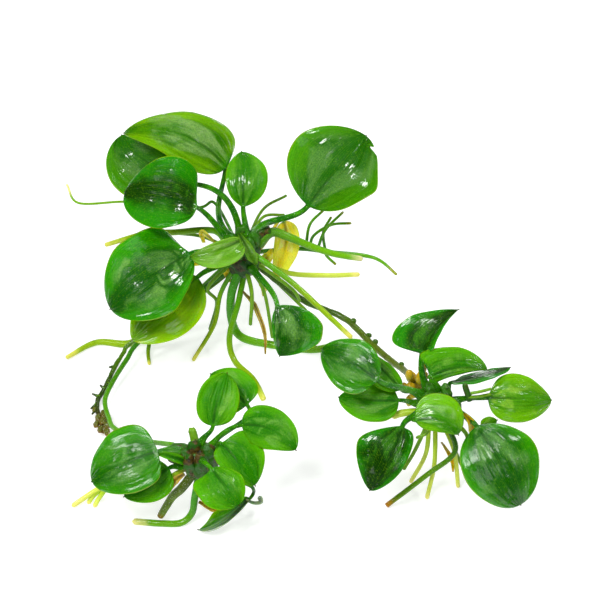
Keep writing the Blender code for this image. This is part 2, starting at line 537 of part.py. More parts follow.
cluster = [
    lump("bud_4", MOTHER, (-68.5, -66.5, 3.7), (2.6, 3.4, 2.6), fine=2),
    lump("bud_5", MOTHER, (-67.2, -71, 3.5), (2.8, 3.4, 2.4), fine=2),
    lump("bud_6", MOTHER, (-72.8, -59, 3.8), (1.6, 2.4, 1.8), fine=1),
]
fuse(bud_stalk, cluster, RUNNER_OLIVE)
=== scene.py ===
import math

import bpy
import numpy as np
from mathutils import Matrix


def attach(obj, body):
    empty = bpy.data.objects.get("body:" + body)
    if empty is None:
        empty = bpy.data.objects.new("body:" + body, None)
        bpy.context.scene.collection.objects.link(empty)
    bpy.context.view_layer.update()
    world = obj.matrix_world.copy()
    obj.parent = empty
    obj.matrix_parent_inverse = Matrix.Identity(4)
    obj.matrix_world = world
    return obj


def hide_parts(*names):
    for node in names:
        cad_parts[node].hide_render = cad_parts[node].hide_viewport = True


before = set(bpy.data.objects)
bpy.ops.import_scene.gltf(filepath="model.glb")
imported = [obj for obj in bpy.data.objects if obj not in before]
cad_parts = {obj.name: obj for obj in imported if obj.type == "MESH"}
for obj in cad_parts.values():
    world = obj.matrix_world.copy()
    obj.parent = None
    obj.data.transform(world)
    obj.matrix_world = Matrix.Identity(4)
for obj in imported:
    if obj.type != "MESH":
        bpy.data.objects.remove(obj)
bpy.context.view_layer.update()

# View: the plant lies on a white surface and is seen from in front and well above, through a long
# lens. The camera looks at the middle of the plant, a little over the surface.
VIEW_RISE = math.radians(42)
VIEW_DISTANCE = 0.833
VIEW_TARGET = np.array([0.0047, 0.0327, 0.030])
view = bpy.data.objects.new("view", bpy.data.cameras.new("view"))
view.data.lens = 100
view.data.sensor_width = 36
view.location = VIEW_TARGET + VIEW_DISTANCE * np.array([0, -math.cos(VIEW_RISE), math.sin(VIEW_RISE)])
view.rotation_euler = (math.pi / 2 - VIEW_RISE, 0, 0)
view.data.clip_start, view.data.clip_end = 0.01, 50
bpy.context.scene.collection.objects.link(view)
bpy.context.scene.camera = view
bpy.context.scene.view_settings.view_transform = "Standard"

# Light: a wide soft lamp over the plant and one in front of it, and four small bright ones round it,
# with a little light from all sides.
TENT_LIGHT = 0.10


def soft_lamp(name, place, size, power):
    """Square lamp at a place in metres, turned to the middle of the plant."""
    lamp = bpy.data.objects.new(name, bpy.data.lights.new(name, "AREA"))
    lamp.data.shape = "SQUARE"
    lamp.data.size = size
    lamp.data.energy = power
    lamp.location = place
    away = np.array(place) - VIEW_TARGET
    flat = math.hypot(away[0], away[1])
    lamp.rotation_euler = (math.atan2(flat, away[2]), 0, math.atan2(away[1], away[0]) + math.pi / 2)
    bpy.context.scene.collection.objects.link(lamp)


tent = bpy.data.worlds.new("tent")
tent.use_nodes = True
tent.node_tree.nodes["Background"].inputs["Color"].default_value = (1, 1, 1, 1)
tent.node_tree.nodes["Background"].inputs["Strength"].default_value = TENT_LIGHT
bpy.context.scene.world = tent
soft_lamp("lamp_wide", (-0.10, 0.10, 0.90), 0.50, 0.7)
soft_lamp("lamp_left", (-0.52, -0.12, 0.72), 0.14, 2.0)
soft_lamp("lamp_fore", (-0.30, -0.38, 0.85), 0.27, 5.8)
soft_lamp("lamp_right", (0.45, 0.10, 0.80), 0.15, 2.8)
soft_lamp("lamp_behind", (0.08, 0.60, 0.75), 0.15, 2.4)
soft_lamp("lamp_front", (0.12, -0.72, 0.55), 0.40, 1.2)

# Surface that the plant lies on: a smooth white board without texture. It glows a little, as a light
# table does, so that the shadows on it stay soft.
BOARD_HALF = 3.0
BOARD_DROP = 0.00005
BOARD_GLOW = 0.66


def shade(red, green, blue):
    """Linear colour of a display colour: each part over 255, to the power 2.2."""
    return (*((np.array([red, green, blue]) / 255.0) ** 2.2).tolist(), 1.0)


def fill(node, inputs):
    """Give a node its inputs, each (socket, value or output), and return it."""
    for socket, value in inputs:
        if isinstance(value, bpy.types.NodeSocket):
            node.id_data.links.new(value, node.inputs[socket])
        else:
            node.inputs[socket].default_value = value
    return node


def add_node(tree, kind, inputs=(), **settings):
    """New shader node: settings are its properties, inputs are (socket, value or output) pairs."""
    made = tree.nodes.new("ShaderNode" + kind)
    for name, value in settings.items():
        setattr(made, name, value)
    return fill(made, inputs)


def new_finish(name):
    """Material with its shader alone: returns the material, the shader and the place on the object."""
    made = bpy.data.materials.new(name)
    made.use_nodes = True
    where = add_node(made.node_tree, "TexCoord").outputs["Object"]
    return made, made.node_tree.nodes["Principled BSDF"], where


def cloud(where, scale, detail=3.0, roughness=0.5):
    """Soft noise from 0 to 1 at a place, with a number of patches per metre or unit."""
    made = add_node(where.id_data, "TexNoise", [("Vector", where), ("Scale", scale), ("Detail", detail),
                                                ("Roughness", roughness)])
    return made.outputs["Fac"]


def ramp(value, low, high, start=0.0, end=1.0):
    """Soft step: start below low, end above high."""
    inputs = [("Value", value), ("From Min", low), ("From Max", high), ("To Min", start), ("To Max", end)]
    return add_node(value.id_data, "MapRange", inputs, interpolation_type="SMOOTHSTEP").outputs["Result"]


def mix(share, first, second):
    """Colour from the first at share 0 to the second at share 1, each a display colour or an output."""
    first, second = (shade(*colour) if isinstance(colour, tuple) else colour for colour in (first, second))
    return add_node(share.id_data, "Mix", [(0, share), (6, first), (7, second)], data_type="RGBA").outputs[2]


def bump(height, strength, distance, normal=None):
    """Normal of a surface raised by height times distance, in metres."""
    inputs = [("Height", height), ("Strength", strength), ("Distance", distance)]
    if normal:
        inputs.append(("Normal", normal))
    return add_node(height.id_data, "Bump", inputs).outputs["Normal"]


board_finish, shader, where = new_finish("board_white")
board_cloud = cloud(where, 6.0)
fill(shader, [("Base Color", mix(board_cloud, (184, 186, 184), (190, 192, 190))),
              ("Roughness", ramp(board_cloud, 0.2, 0.8, 0.55, 0.65)), ("Specular IOR Level", 0.2),
              ("Emission Color", (1, 1, 1, 1)), ("Emission Strength", BOARD_GLOW)])
board = bpy.data.objects.new("board", bpy.data.meshes.new("board"))
board.data.from_pydata([(x * BOARD_HALF, y * BOARD_HALF, -BOARD_DROP) for x, y in
                        ((-1, -1), (1, -1), (1, 1), (-1, 1))], [], [(0, 1, 2, 3)])
board.data.materials.append(board_finish)
bpy.context.scene.collection.objects.link(board)

# Crowns: the short thick stems in the middle of each rosette, knobby and brown between the bases of
# the leaves. Each is one or two lumps, with the thin young roots that break through its side.
MM = 0.001
ORIGIN_SHIFT = np.array([4.7, 32.7, 0.0])
MOTHER = {"middle": np.array([-28.0, 10.0, 50.0]), "lumps": [((0, 0, 0), (8.5, 8.0, 12.0))]}
LEFT = {"middle": np.array([-45.0, -112.0, 33.0]), "lumps": [((0, 0, 0), (8.0, 7.0, 8.5)),
                                                            ((-9, 3, 2), (6, 5, 5))]}
RIGHT = {"middle": np.array([62.0, -87.0, 43.0]), "lumps": [((0, 0, 0), (8.0, 7.5, 9.5))]}
CROWN_GAP = 0.3
ROOT_RING = 20
ROOT_STEP = 0.9
ROOT_KNOBS = 0.04
ROOT_FLARE = 0.25
ROOT_LIFT = 0.02
FLARE_RUN = 2.5
TIP_REACH = 0.6
INSIDE = 5  # how far a root or a stalk runs on into its crown
FUSED_DEPTH = 4
CROWN_GRAIN = (0.09, 5.5, 40, 64)  # roughness, wavelength, rows and columns of a lump's grid
SHEATH_GRAIN = (0.12, 4.0, 24, 36)
FILM_IOR = 1.45
random_waves = np.random.default_rng(12)
WAVE_WAYS = random_waves.normal(size=(7, 3))
WAVE_WAYS /= np.linalg.norm(WAVE_WAYS, axis=1)[:, None]
WAVE_STARTS = random_waves.uniform(0, math.tau, 7)


def unit(vectors):
    """Vectors brought to length 1 along their last axis."""
    return vectors / np.maximum(np.linalg.norm(vectors, axis=-1, keepdims=True), 1e-12)


def heading_of(azimuth, rise):
    """Unit direction: azimuth in degrees from right towards away, rise above level."""
    turn, lift = math.radians(azimuth), math.radians(rise)
    return np.array([math.cos(turn) * math.cos(lift), math.sin(turn) * math.cos(lift), math.sin(lift)])


def from_crown(crown, points):
    """Places in millimetres of (right, away, height) points: right and away count from the crown."""
    shift = crown["middle"] * (1, 1, 0) + ORIGIN_SHIFT
    return np.array(points, float) + shift


def crown_reach(crown, along):
    """How far from its middle the crown's lumps reach along a direction.

    For each lump it is the farther root of the quadratic that the stretched ball gives.
    """
    reach = 0.0
    for offset, size in crown["lumps"]:
        across, back = along / np.array(size), np.array(offset) / np.array(size)
        a, b, c = across @ across, across @ back, back @ back - 1
        if b * b - a * c > 0:
            reach = max(reach, (b + math.sqrt(b * b - a * c)) / a)
    return reach


def on_crown(crown, along):
    """Point on a crown, or a hair above it, where something grows out along a direction."""
    return crown["middle"] + ORIGIN_SHIFT + along * (crown_reach(crown, along) + CROWN_GAP)


def roughened(places, wavelength):
    """Uneven height from about -1 to 1: the mean of seven waves that run in fixed unlike directions."""
    stretch = np.linspace(0.7, 1.6, len(WAVE_WAYS))
    return np.sin((places @ WAVE_WAYS.T) * stretch * math.tau / wavelength + WAVE_STARTS).mean(axis=-1) * 2


def skin_over(rings, first_end, last_end, marks):
    """Closed skin over rows of rings, with a point at each end. marks are two vectors for each ring point.

    Returns points in millimetres, four-sided faces, three-sided faces and the marks, faces outwards.
    """
    rows, columns = rings.shape[:2]
    index = np.arange(rows * columns).reshape(rows, columns)
    beside = np.roll(index, -1, axis=1)
    quads = np.stack([index[:-1], beside[:-1], beside[1:], index[1:]], axis=-1).reshape(-1, 4)
    first, last = rows * columns, rows * columns + 1
    fan_first = np.stack([np.full(columns, first), beside[0], index[0]], axis=-1)
    fan_last = np.stack([np.full(columns, last), index[-1], beside[-1]], axis=-1)
    points = np.vstack([rings.reshape(-1, 3), first_end, last_end])
    marks = [np.vstack([mark.reshape(-1, 3), mark[0].mean(axis=0), mark[-1].mean(axis=0)]) for mark in marks]
    triangles = np.vstack([quads[:, [0, 1, 2]], quads[:, [0, 2, 3]], fan_first, fan_last])
    corners = points[triangles] - points.mean(axis=0)
    volume = np.einsum("ij,ij->i", corners[:, 0], np.cross(corners[:, 1], corners[:, 2])).sum()
    fans = np.vstack([fan_first, fan_last])
    if volume < 0:
        quads, fans = quads[:, ::-1], fans[:, ::-1]
    return points, quads, fans, marks


def marked(*parts):
    """Three numbers for each point of a grid, each part spread over the whole grid."""
    return np.stack(np.broadcast_arrays(*parts), axis=-1)


def lump_skin(middle, size, rough, wavelength, rows, columns):
    """Knob: a ball stretched to size, whose radius swells and sinks by the roughened height."""
    climb = (np.arange(rows) + 1) * math.pi / (rows + 1)
    turn = np.arange(columns) * math.tau / columns
    ball = np.stack([np.sin(climb)[:, None] * np.cos(turn), np.sin(climb)[:, None] * np.sin(turn),
                     np.repeat(np.cos(climb)[:, None], columns, axis=1)], axis=-1)
    size = np.array(size)
    places = ball * size
    rings = middle + places * (1 + rough * roughened(places + middle, wavelength))[..., None]
    ends = [middle + np.array([0, 0, way * size[2]]) for way in (1, -1)]
    place = marked(climb[:, None] / math.pi, turn[None] / math.tau, 0.0)
    return skin_over(rings, *ends, [place, np.zeros_like(place)])


def smooth_way(points, step=ROOT_STEP):
    """Catmull-Rom curve through the points, sampled about every step.

    Returns the places, and for each its share of the way, counted in points.
    """
    points = np.array(points, float)
    ends = np.vstack([points[0] * 2 - points[1], points, points[-1] * 2 - points[-2]])
    length = np.linalg.norm(np.diff(points, axis=0), axis=1).sum()
    count = max(int(length / step), 8)
    share = np.linspace(0, len(points) - 1, count)
    span = np.minimum(share.astype(int), len(points) - 2)
    t = (share - span)[:, None]
    before, start, end, after = (ends[span + shift] for shift in range(4))
    places = 0.5 * (2 * start + (end - before) * t + (2 * before - 5 * start + 4 * end - after) * t ** 2
                    + (3 * start - before - 3 * end + after) * t ** 3)
    return places, share / (len(points) - 1)


def tube_skin(way, share, radii, knobs, tip, flare, look):
    """Root or stem: rings round a way, their radius read from radii by share, each slightly uneven.

    The end is a half ball with tip, and flat without it. flare widens the first few millimetres.
    """
    if tip:
        way = np.vstack([way, way[-1] + unit(way[-1] - way[-2]) * radii[-1] * TIP_REACH])
        share = np.append(share, 1.0)
    heading = unit(np.gradient(way, axis=0))
    plane = np.linalg.svd(way - way.mean(axis=0))[2][2]
    first = unit(np.cross(heading, plane))
    second = np.cross(first, heading)
    run = np.concatenate([[0], np.cumsum(np.linalg.norm(np.diff(way, axis=0), axis=1))])
    radius = np.interp(share, np.linspace(0, 1, len(radii)), radii)
    radius = radius * (1 + flare * np.exp(-(run / FLARE_RUN) ** 2))
    left = np.clip((run[-1] - run) / radius[-1], 0, 1)
    if tip:
        radius = radius * np.sqrt(np.clip(1 - (1 - left) ** 2, 0.02, 1))
    turn = np.arange(ROOT_RING) * math.tau / ROOT_RING
    spokes = first[:, None] * np.cos(turn)[:, None] + second[:, None] * np.sin(turn)[:, None]
    rings = way[:, None] + spokes * radius[:, None, None]
    rough = roughened(rings, 7.0) * 0.6 + roughened(rings, 2.6) * 0.4
    rings = way[:, None] + spokes * (radius[:, None] * (1 + knobs * rough))[..., None]
    rings[..., 2] = np.maximum(rings[..., 2], ROOT_LIFT)
    place = marked(share[:, None], np.cos(turn)[None], run[:, None] / 10)
    looks = np.zeros_like(place)
    looks[..., 0] = look
    ends = [rings[0].mean(axis=0), rings[-1].mean(axis=0) + heading[-1] * (0.15 * radii[-1] if tip else 0)]
    return skin_over(rings, *ends, [place, looks])


def root_skin(crown, start, points, radii, knobs=ROOT_KNOBS, tip=True, end=None, fused=False, look=0.0):
    """Root from inside its crown. With end, a (crown, direction) pair, a runner that ends in that crown.

    A fused root starts a little under the crown's skin, and any other runs on further into it.
    """
    along = heading_of(*start)
    surface = on_crown(crown, along)
    if fused:
        surface = surface - along * FUSED_DEPTH
    way = [surface, *from_crown(crown, points)]
    if end:
        into = heading_of(*end[1])
        way.append(on_crown(end[0], into))
    places, share = smooth_way(way)
    if not fused:
        places = np.vstack([surface - along * INSIDE, surface - along * INSIDE / 2, places])
        share = np.concatenate([[0, 0], share])
    if end:
        places = np.vstack([places, places[-1] - into * INSIDE / 2, places[-1] - into * INSIDE])
        share = np.concatenate([share, [1, 1]])
    return tube_skin(places, share, radii, knobs, tip and not end, ROOT_FLARE, look)


def branch_skin(crown, points, radii, knobs=ROOT_KNOBS, tip=True, look=0.0):
    """Branch, bract or stub along a smooth way through points, the first of them inside its parent."""
    return tube_skin(*smooth_way(from_crown(crown, points)), radii, knobs, tip, 0.0, look)


def make_piece(name, skins, material, slot, *nodes):
    """Join skins in one mesh piece with its marks and material, in place of these nodes' plain solids."""
    points, quads, fans, places, looks, shift = [], [], [], [], [], 0
    for skin_points, skin_quads, skin_fans, (place, look) in skins:
        points.append(skin_points * MM)
        quads += (skin_quads + shift).tolist()
        fans += (skin_fans + shift).tolist()
        places.append(place)
        looks.append(look)
        shift += len(skin_points)
    mesh = bpy.data.meshes.new(name)
    mesh.from_pydata(np.vstack(points).tolist(), [], quads + fans)
    for attribute, values in (("place", places), ("look", looks)):
        mark = mesh.attributes.new(attribute, "FLOAT_VECTOR", "POINT")
        mark.data.foreach_set("vector", np.vstack(values).astype(np.float32).ravel())
    mesh.shade_smooth()
    mesh.materials.append(material)
    piece = bpy.data.objects.new(name, mesh)
    bpy.context.scene.collection.objects.link(piece)
    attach(piece, "root")
    if nodes:
        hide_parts(*nodes)


def marks_of(beside, name):
    """The three numbers of a piece's own mark, for the tree that an output stands in."""
    mark = add_node(beside.id_data, "Attribute", attribute_name=name, attribute_type="GEOMETRY")
    return add_node(beside.id_data, "SeparateXYZ", [("Vector", mark.outputs["Vector"])]).outputs


def wet(shader, normal, film_normal, coat, coat_roughness):
    """Give a shader its normals and a thin film of water over it."""
    fill(shader, [("Normal", normal), ("Coat Normal", film_normal), ("Coat Weight", coat),
                  ("Coat Roughness", coat_roughness), ("Coat IOR", FILM_IOR)])


def crown_finish(name, brown, dark, green, green_share):
    """Crown bark: brown papery tissue, dark in its pits, with green sheaths showing in patches."""
    made, shader, where = new_finish(name)
    young = marks_of(where, "look")[0]
    patches = cloud(where, 210.0, 4.0)
    pits = cloud(where, 620.0, 5.0, 0.65)
    long_place = add_node(where.id_data, "Mapping", [("Vector", where), ("Scale", (900, 900, 120))])
    strips = cloud(long_place.outputs["Vector"], 1.0, 4.0)
    colour = mix(ramp(pits, 0.36, 0.62), dark, brown)
    colour = mix(ramp(patches, 0.62 - green_share * 0.3, 0.70 - green_share * 0.3), colour, green)
    colour = mix(ramp(strips, 0.62, 0.74, 0.0, 0.35), colour, (180, 160, 90))
    colour = mix(young, colour, mix(strips, (56, 120, 4), (134, 180, 30)))
    fill(shader, [("Base Color", colour), ("Roughness", ramp(pits, 0.3, 0.7, 0.6, 0.4)),
                  ("Specular IOR Level", 0.15)])
    rough = bump(strips, 0.6, 0.0006, bump(pits, 0.8, 0.0009))
    wet(shader, rough, bump(cloud(where, 1400.0), 0.5, 0.0004), 0.3, 0.05)
    return made


MOTHER_BARK = crown_finish("crown_bark_green", (70, 60, 14), (22, 28, 2), (26, 76, 2), 0.8)
YOUNG_BARK = crown_finish("crown_bark_brown", (84, 70, 20), (28, 28, 2), (44, 92, 4), 0.7)
MIXED_BARK = crown_finish("crown_bark_mixed", (84, 68, 22), (26, 24, 2), (36, 90, 4), 0.66)
SHEATH_BARK = crown_finish("crown_sheath", (66, 116, 14), (22, 66, 2), (48, 108, 4), 0.8)


def crown_lumps(crown, lumps, grain):
    """Lumps of one grain that count from a crown's middle, each (offset, size)."""
    middle = crown["middle"] + ORIGIN_SHIFT
    return [lump_skin(middle + np.array(offset), size, *grain) for offset, size in lumps]


def crown_skins(crown, rootlets):
    """A crown's lumps and its young roots, each (start, points, radii)."""
    return (crown_lumps(crown, crown["lumps"], CROWN_GRAIN)
            + [root_skin(crown, *rootlet, fused=True, look=1.0) for rootlet in rootlets])


make_piece("mother_crown_stem", crown_skins(MOTHER, [
    ((186, -25), [(-18, -5, 34), (-14, -5, 24), (-18, -8, 8)], (1.0, 0.8)),
    ((-75, -45), [(4, -10, 34), (3, -13, 16)], (1.2, 0.9)),
    ((-50, -45), [(10, -8, 34), (14, -14, 8)], (1.0, 0.8)),
    ((-30, -5), [(16, -6, 42), (25, -10, 36), (28, -11, 30)], (1.0, 0.8)),
    ((4, -28), [(16, 1.5, 32), (31, -4, 17.5)], (0.9, 0.8)),
    ((82, 30), [(9, 24, 60), (21, 36, 60)], (0.8, 0.7)),
    ((60, 25), [(9, 18, 60), (20, 23, 58)], (0.8, 0.7)),
    ((135, -8), [(-21, 20, 46), (-40, 27, 43)], (0.9, 0.8)),
]), MOTHER_BARK, "crown", "mother_crown")
make_piece("left_crown_stem", crown_skins(LEFT, [
    ((110, 20), [(-3, 9, 42), (-4, 10, 43.4)], (2.0, 1.8)),
    ((-10, -55), [(3, -1, 14), (5, -1, 7)], (1.1, 0.7)),
]), YOUNG_BARK, "crown", "left_crown")
make_piece("right_crown_stem", crown_skins(RIGHT, [
    ((-120, -15), [(-4, -10, 37), (-9, -11, 34)], (0.9, 0.7)),
    ((-125, -30), [(-9, -9, 24), (-14, -12, 14)], (1.0, 0.8)),
    ((0, -45), [(10, -1, 16), (14, -4, 7)], (1.1, 0.8)),
    ((-50, -12), [(13, -12, 38), (14, -15, 28)], (1.1, 0.8)),
]), YOUNG_BARK, "crown", "right_crown")

for name, crown, bark, lumps in [
    ("mother_crown_sheaths", MOTHER, SHEATH_BARK, [
        ((-2, -5, 8), (3.4, 3.0, 8)), ((3, -5, 9), (3.0, 3.2, 7)), ((-6, -1, 8), (3.0, 4.0, 6)),
        ((5, 1, 9), (3.4, 3.4, 6)), ((0, 4, 10), (4.0, 3.4, 7))]),
    ("left_crown_sheaths", LEFT, MIXED_BARK, [
        ((1, -4.5, 4), (3.4, 3.0, 6)), ((-4, -4, 3), (3.2, 3.0, 5.5)), ((4, 0, 5), (3.6, 3.6, 6)),
        ((-2, 2, 6), (3.4, 3.4, 5.5)), ((-7, 0, 5), (4.5, 3.2, 3.2))]),
    ("right_crown_sheaths", RIGHT, SHEATH_BARK, [
        ((-4, -3, 5), (3.2, 3.4, 7)), ((3, -4, 5), (3.2, 3.2, 6.5)), ((4, 2, 6), (3.2, 3.6, 6)),
        ((-2, 3, 7), (3.6, 3.2, 6)), ((8, -3, 3), (3.2, 2.8, 4.5))]),
]:
    make_piece(name, crown_lumps(crown, lumps, SHEATH_GRAIN), bark, "crown")

# Leaves of the mother rosette: round, tough, glossy blades on round stalks. The stalk runs on under
# the blade as its midrib, and the veins arch from the base to the tip. Each grows from the crown.
BLADE_THICK = 0.75
RIM_THICK = 0.30
NECK = 0.045  # share of the blade's length where the round stalk turns flat
VEIN_COUNT = 5.5
LIT_DEPTH = 0.0012
# Size of the white specks on stalks and roots, which are painted glints of water.
PAINTED_GLINT_SCALE = 2300.0
HANDLE_OUT = 0.4
HANDLE_IN = 0.35


def leaf_skin(crown, start, base, middle, tip, widths, face, cup=(0, 0), fold=(0, 0), petiole=(1.7, 1.1),
              sway=(0, 0, 0), widest=0.85, blunt=0.6, lobe=(1.5, 1.5), bulges=(), quilt=0.05, wave=0.4,
              phase=0.0, spur=0.9):
    """Leaf with its stalk, as one skin of rings that are round on the stalk and flat across the blade.

    The midrib is the parabola through base, middle and tip. At a share v of its length the half width
    is the leaf's width times sin(pi v^widest)^blunt over its largest value. From the midrib to the rim
    the blade is lifted by cup times the square of the distance and by fold times the distance, and its
    shoulders are swept back by lobe. sway pushes the middle of the stalk aside. bulges are humps of
    the rim, each (0 for left or 1 for right, share of the length, reach, spread). quilt is the height
    of the soft ridges between the veins, wave that of the slow waves along the rim, and spur the
    length of the small point at the tip. The stalk is a cubic curve from the crown to the base.
    """
    base, middle, tip = from_crown(crown, [base, middle, tip])
    face = unit(np.array(face, float))
    length = np.linalg.norm(middle - base) + np.linalg.norm(tip - middle)
    half_columns = 33 if length > 31 else 25
    rows = int(np.clip(length * 1.7, 40, 110))
    across = np.linspace(-1, 1, half_columns * 2 - 1)
    ring_across = np.concatenate([across, across[-2:0:-1]])
    above = np.concatenate([np.ones(len(across)), -np.ones(len(across) - 2)])
    round_across, round_up = np.sin(ring_across * math.pi / 2), np.cos(ring_across * math.pi / 2) * above

    bend = middle * 2 - (base + tip) / 2
    v = (1 - np.cos(np.linspace(0.02, 1, rows) * math.pi)) / 2
    v[-1] = 1.0
    spine = base * ((1 - v) ** 2)[:, None] + bend * (2 * v * (1 - v))[:, None] + tip * (v ** 2)[:, None]
    heading = unit((bend - base) * (1 - v)[:, None] + (tip - bend) * v[:, None])
    right = unit(np.cross(heading, face))
    up = np.cross(right, heading)
    hump = np.sin(math.pi * np.clip(v, 0, 1) ** widest).clip(0) ** blunt
    steps = np.linspace(0, 1, 41)
    spread = (hump / (np.sin(math.pi * steps ** widest).clip(0) ** blunt).max())[:, None]
    side_width, side_cup, side_fold, side_lobe = (np.where(ring_across < 0, *pair)[None]
                                                  for pair in (widths, cup, fold, lobe))
    column_v, p = v[:, None], ring_across[None]
    neck = np.exp(-(column_v / NECK) ** 2)
    outline = side_width * spread
    for side, highest, reach, width in bulges:
        outline = outline + (ring_across > 0 if side else ring_across < 0) * reach * np.exp(
            -((column_v - highest) / width) ** 2) * spread ** 0.2
    half = np.sqrt(outline ** 2 + (petiole[1] * neck) ** 2 + 0.05)
    sideways = half * (p * (1 - neck) + round_across * neck)
    soft_side = np.sqrt(p ** 2 + 0.004) - 0.063
    edge = np.abs(p)
    lift = side_cup * (p * spread) ** 2 + side_fold * soft_side * spread
    ridges = np.cos(edge ** 0.9 * VEIN_COUNT * math.tau) * quilt * spread * (1 - edge ** 4) * edge ** 0.3
    ridges = ridges * min(max(widths) / 20, 1)
    waves = (np.sin(column_v * 13 + phase + np.sign(p)) + 0.6 * np.sin(column_v * 23 + phase * 2)) * wave
    lift = lift + ridges * (1 - neck) + waves * edge ** 3 * spread * 0.6
    wall = RIM_THICK / 2 + (BLADE_THICK - RIM_THICK) / 2 * (1 - edge ** 1.5)
    wall = wall * np.abs(np.cos(p * math.pi / 2)) ** 0.35 * np.minimum(spread * 3 + 0.25, 1)
    rib_line = np.exp(-(sideways / (petiole[1] * 0.95)) ** 2)
    rib = petiole[1] * 0.85 * (1 - column_v) ** 0.7 * rib_line
    groove = -0.30 * (1 - column_v) ** 0.5 * np.exp(-(sideways / 0.75) ** 2)
    thickness = np.where(above[None] > 0, wall + groove, -wall - rib)
    upwards = lift + thickness * (1 - neck) + petiole[1] * round_up[None] * neck
    swept = -side_lobe * p ** 2 * np.sin(math.pi * np.minimum(column_v / 0.5, 1))
    blade = (spine[:, None] + right[:, None] * sideways[..., None] + up[:, None] * upwards[..., None]
             + heading[:, None] * swept[..., None])
    blade_place = marked(p, column_v, sideways / 10)
    blade_look = marked((above[None] + 1) / 2, neck, np.zeros_like(half))

    along = heading_of(*start)
    surface = on_crown(crown, along)
    stalk_length = np.linalg.norm(base - surface)
    handle_out = surface + along * stalk_length * HANDLE_OUT
    handle_in = base - unit(bend - base) * stalk_length * HANDLE_IN
    t = np.linspace(0, 0.985, max(int(stalk_length / 1.6), 10))[:, None]
    stalk = (surface * (1 - t) ** 3 + handle_out * 3 * t * (1 - t) ** 2 + handle_in * 3 * t ** 2 * (1 - t)
             + base * t ** 3 + np.array(sway) * 4 * t * (1 - t))
    t = np.concatenate([[0, 0], t[:, 0]])
    stalk = np.vstack([surface - along * INSIDE, surface - along * 2, stalk])
    stalk_heading = unit(np.gradient(stalk, axis=0))
    first = unit(right[0] - (stalk_heading @ right[0])[:, None] * stalk_heading)
    second = np.cross(first, stalk_heading)
    run = np.linalg.norm(stalk - surface, axis=1)
    radius = (petiole[0] + (petiole[1] - petiole[0]) * t) * (1 + 0.55 * np.exp(-(run / 3.0) ** 2))
    channel = 1 - 0.10 * np.exp(-(round_across / 0.4) ** 2) * (above > 0)
    stalk_rings = (stalk[:, None] + (first[:, None] * round_across[:, None]
                   + second[:, None] * round_up[:, None]) * (radius[:, None] * channel)[..., None])
    stalk_place = marked(ring_across[None], t[:, None] - 1, run[:, None] / 10)
    stalk_look = marked((above[None] + 1) / 2, 1.0, np.exp(-(run / 5.0) ** 2)[:, None])

    point_run = np.linspace(0.3, 1, 4)
    point_line = (tip + heading[-1] * (point_run * spur)[:, None]
                  - up[-1] * (point_run ** 2 * spur * 0.35)[:, None])
    point_radius = 0.36 * (1 - point_run * 0.75)
    point = point_line[:, None] + (right[-1] * round_across[:, None] * 1.2
                                   + up[-1] * round_up[:, None])[None] * point_radius[:, None, None]
    point_place = np.broadcast_to(blade_place[-1:], (len(point_run), *blade_place.shape[1:])).copy()
    point_place[..., 1] = 1 + 0.1 * point_run[:, None]
    point_look = np.broadcast_to(blade_look[-1:], point_place.shape)
    rings = np.concatenate([stalk_rings, blade, point])
    marks = [np.concatenate([stalk_place, blade_place, point_place]),
             np.concatenate([stalk_look, blade_look, point_look])]
    return skin_over(rings, stalk[0], point_line[-1], marks)


def sum_of(operation, first, second=0.0):
    """One sum on an output and a second number or output, named as the Math node names it."""
    return add_node(first.id_data, "Math", [(0, first), (1, second)], operation=operation).outputs[0]


def times(first, second):
    """First times second."""
    return sum_of("MULTIPLY", first, second)


def plus(first, second):
    """First plus second."""
    return sum_of("ADD", first, second)


def less(first, second):
    """First less second."""
    return sum_of("SUBTRACT", first, second)


def place_of(x, y, z=0.0):
    """Place with these three distances, x an output and each of the others one or a number."""
    return add_node(x.id_data, "CombineXYZ", [(0, x), (1, y), (2, z)]).outputs[0]


def coated(colour, coats):
    """Colour under coats, each (share, colour), laid on in turn."""
    for share, coat in coats:
        colour = mix(share, colour, coat)
    return colour


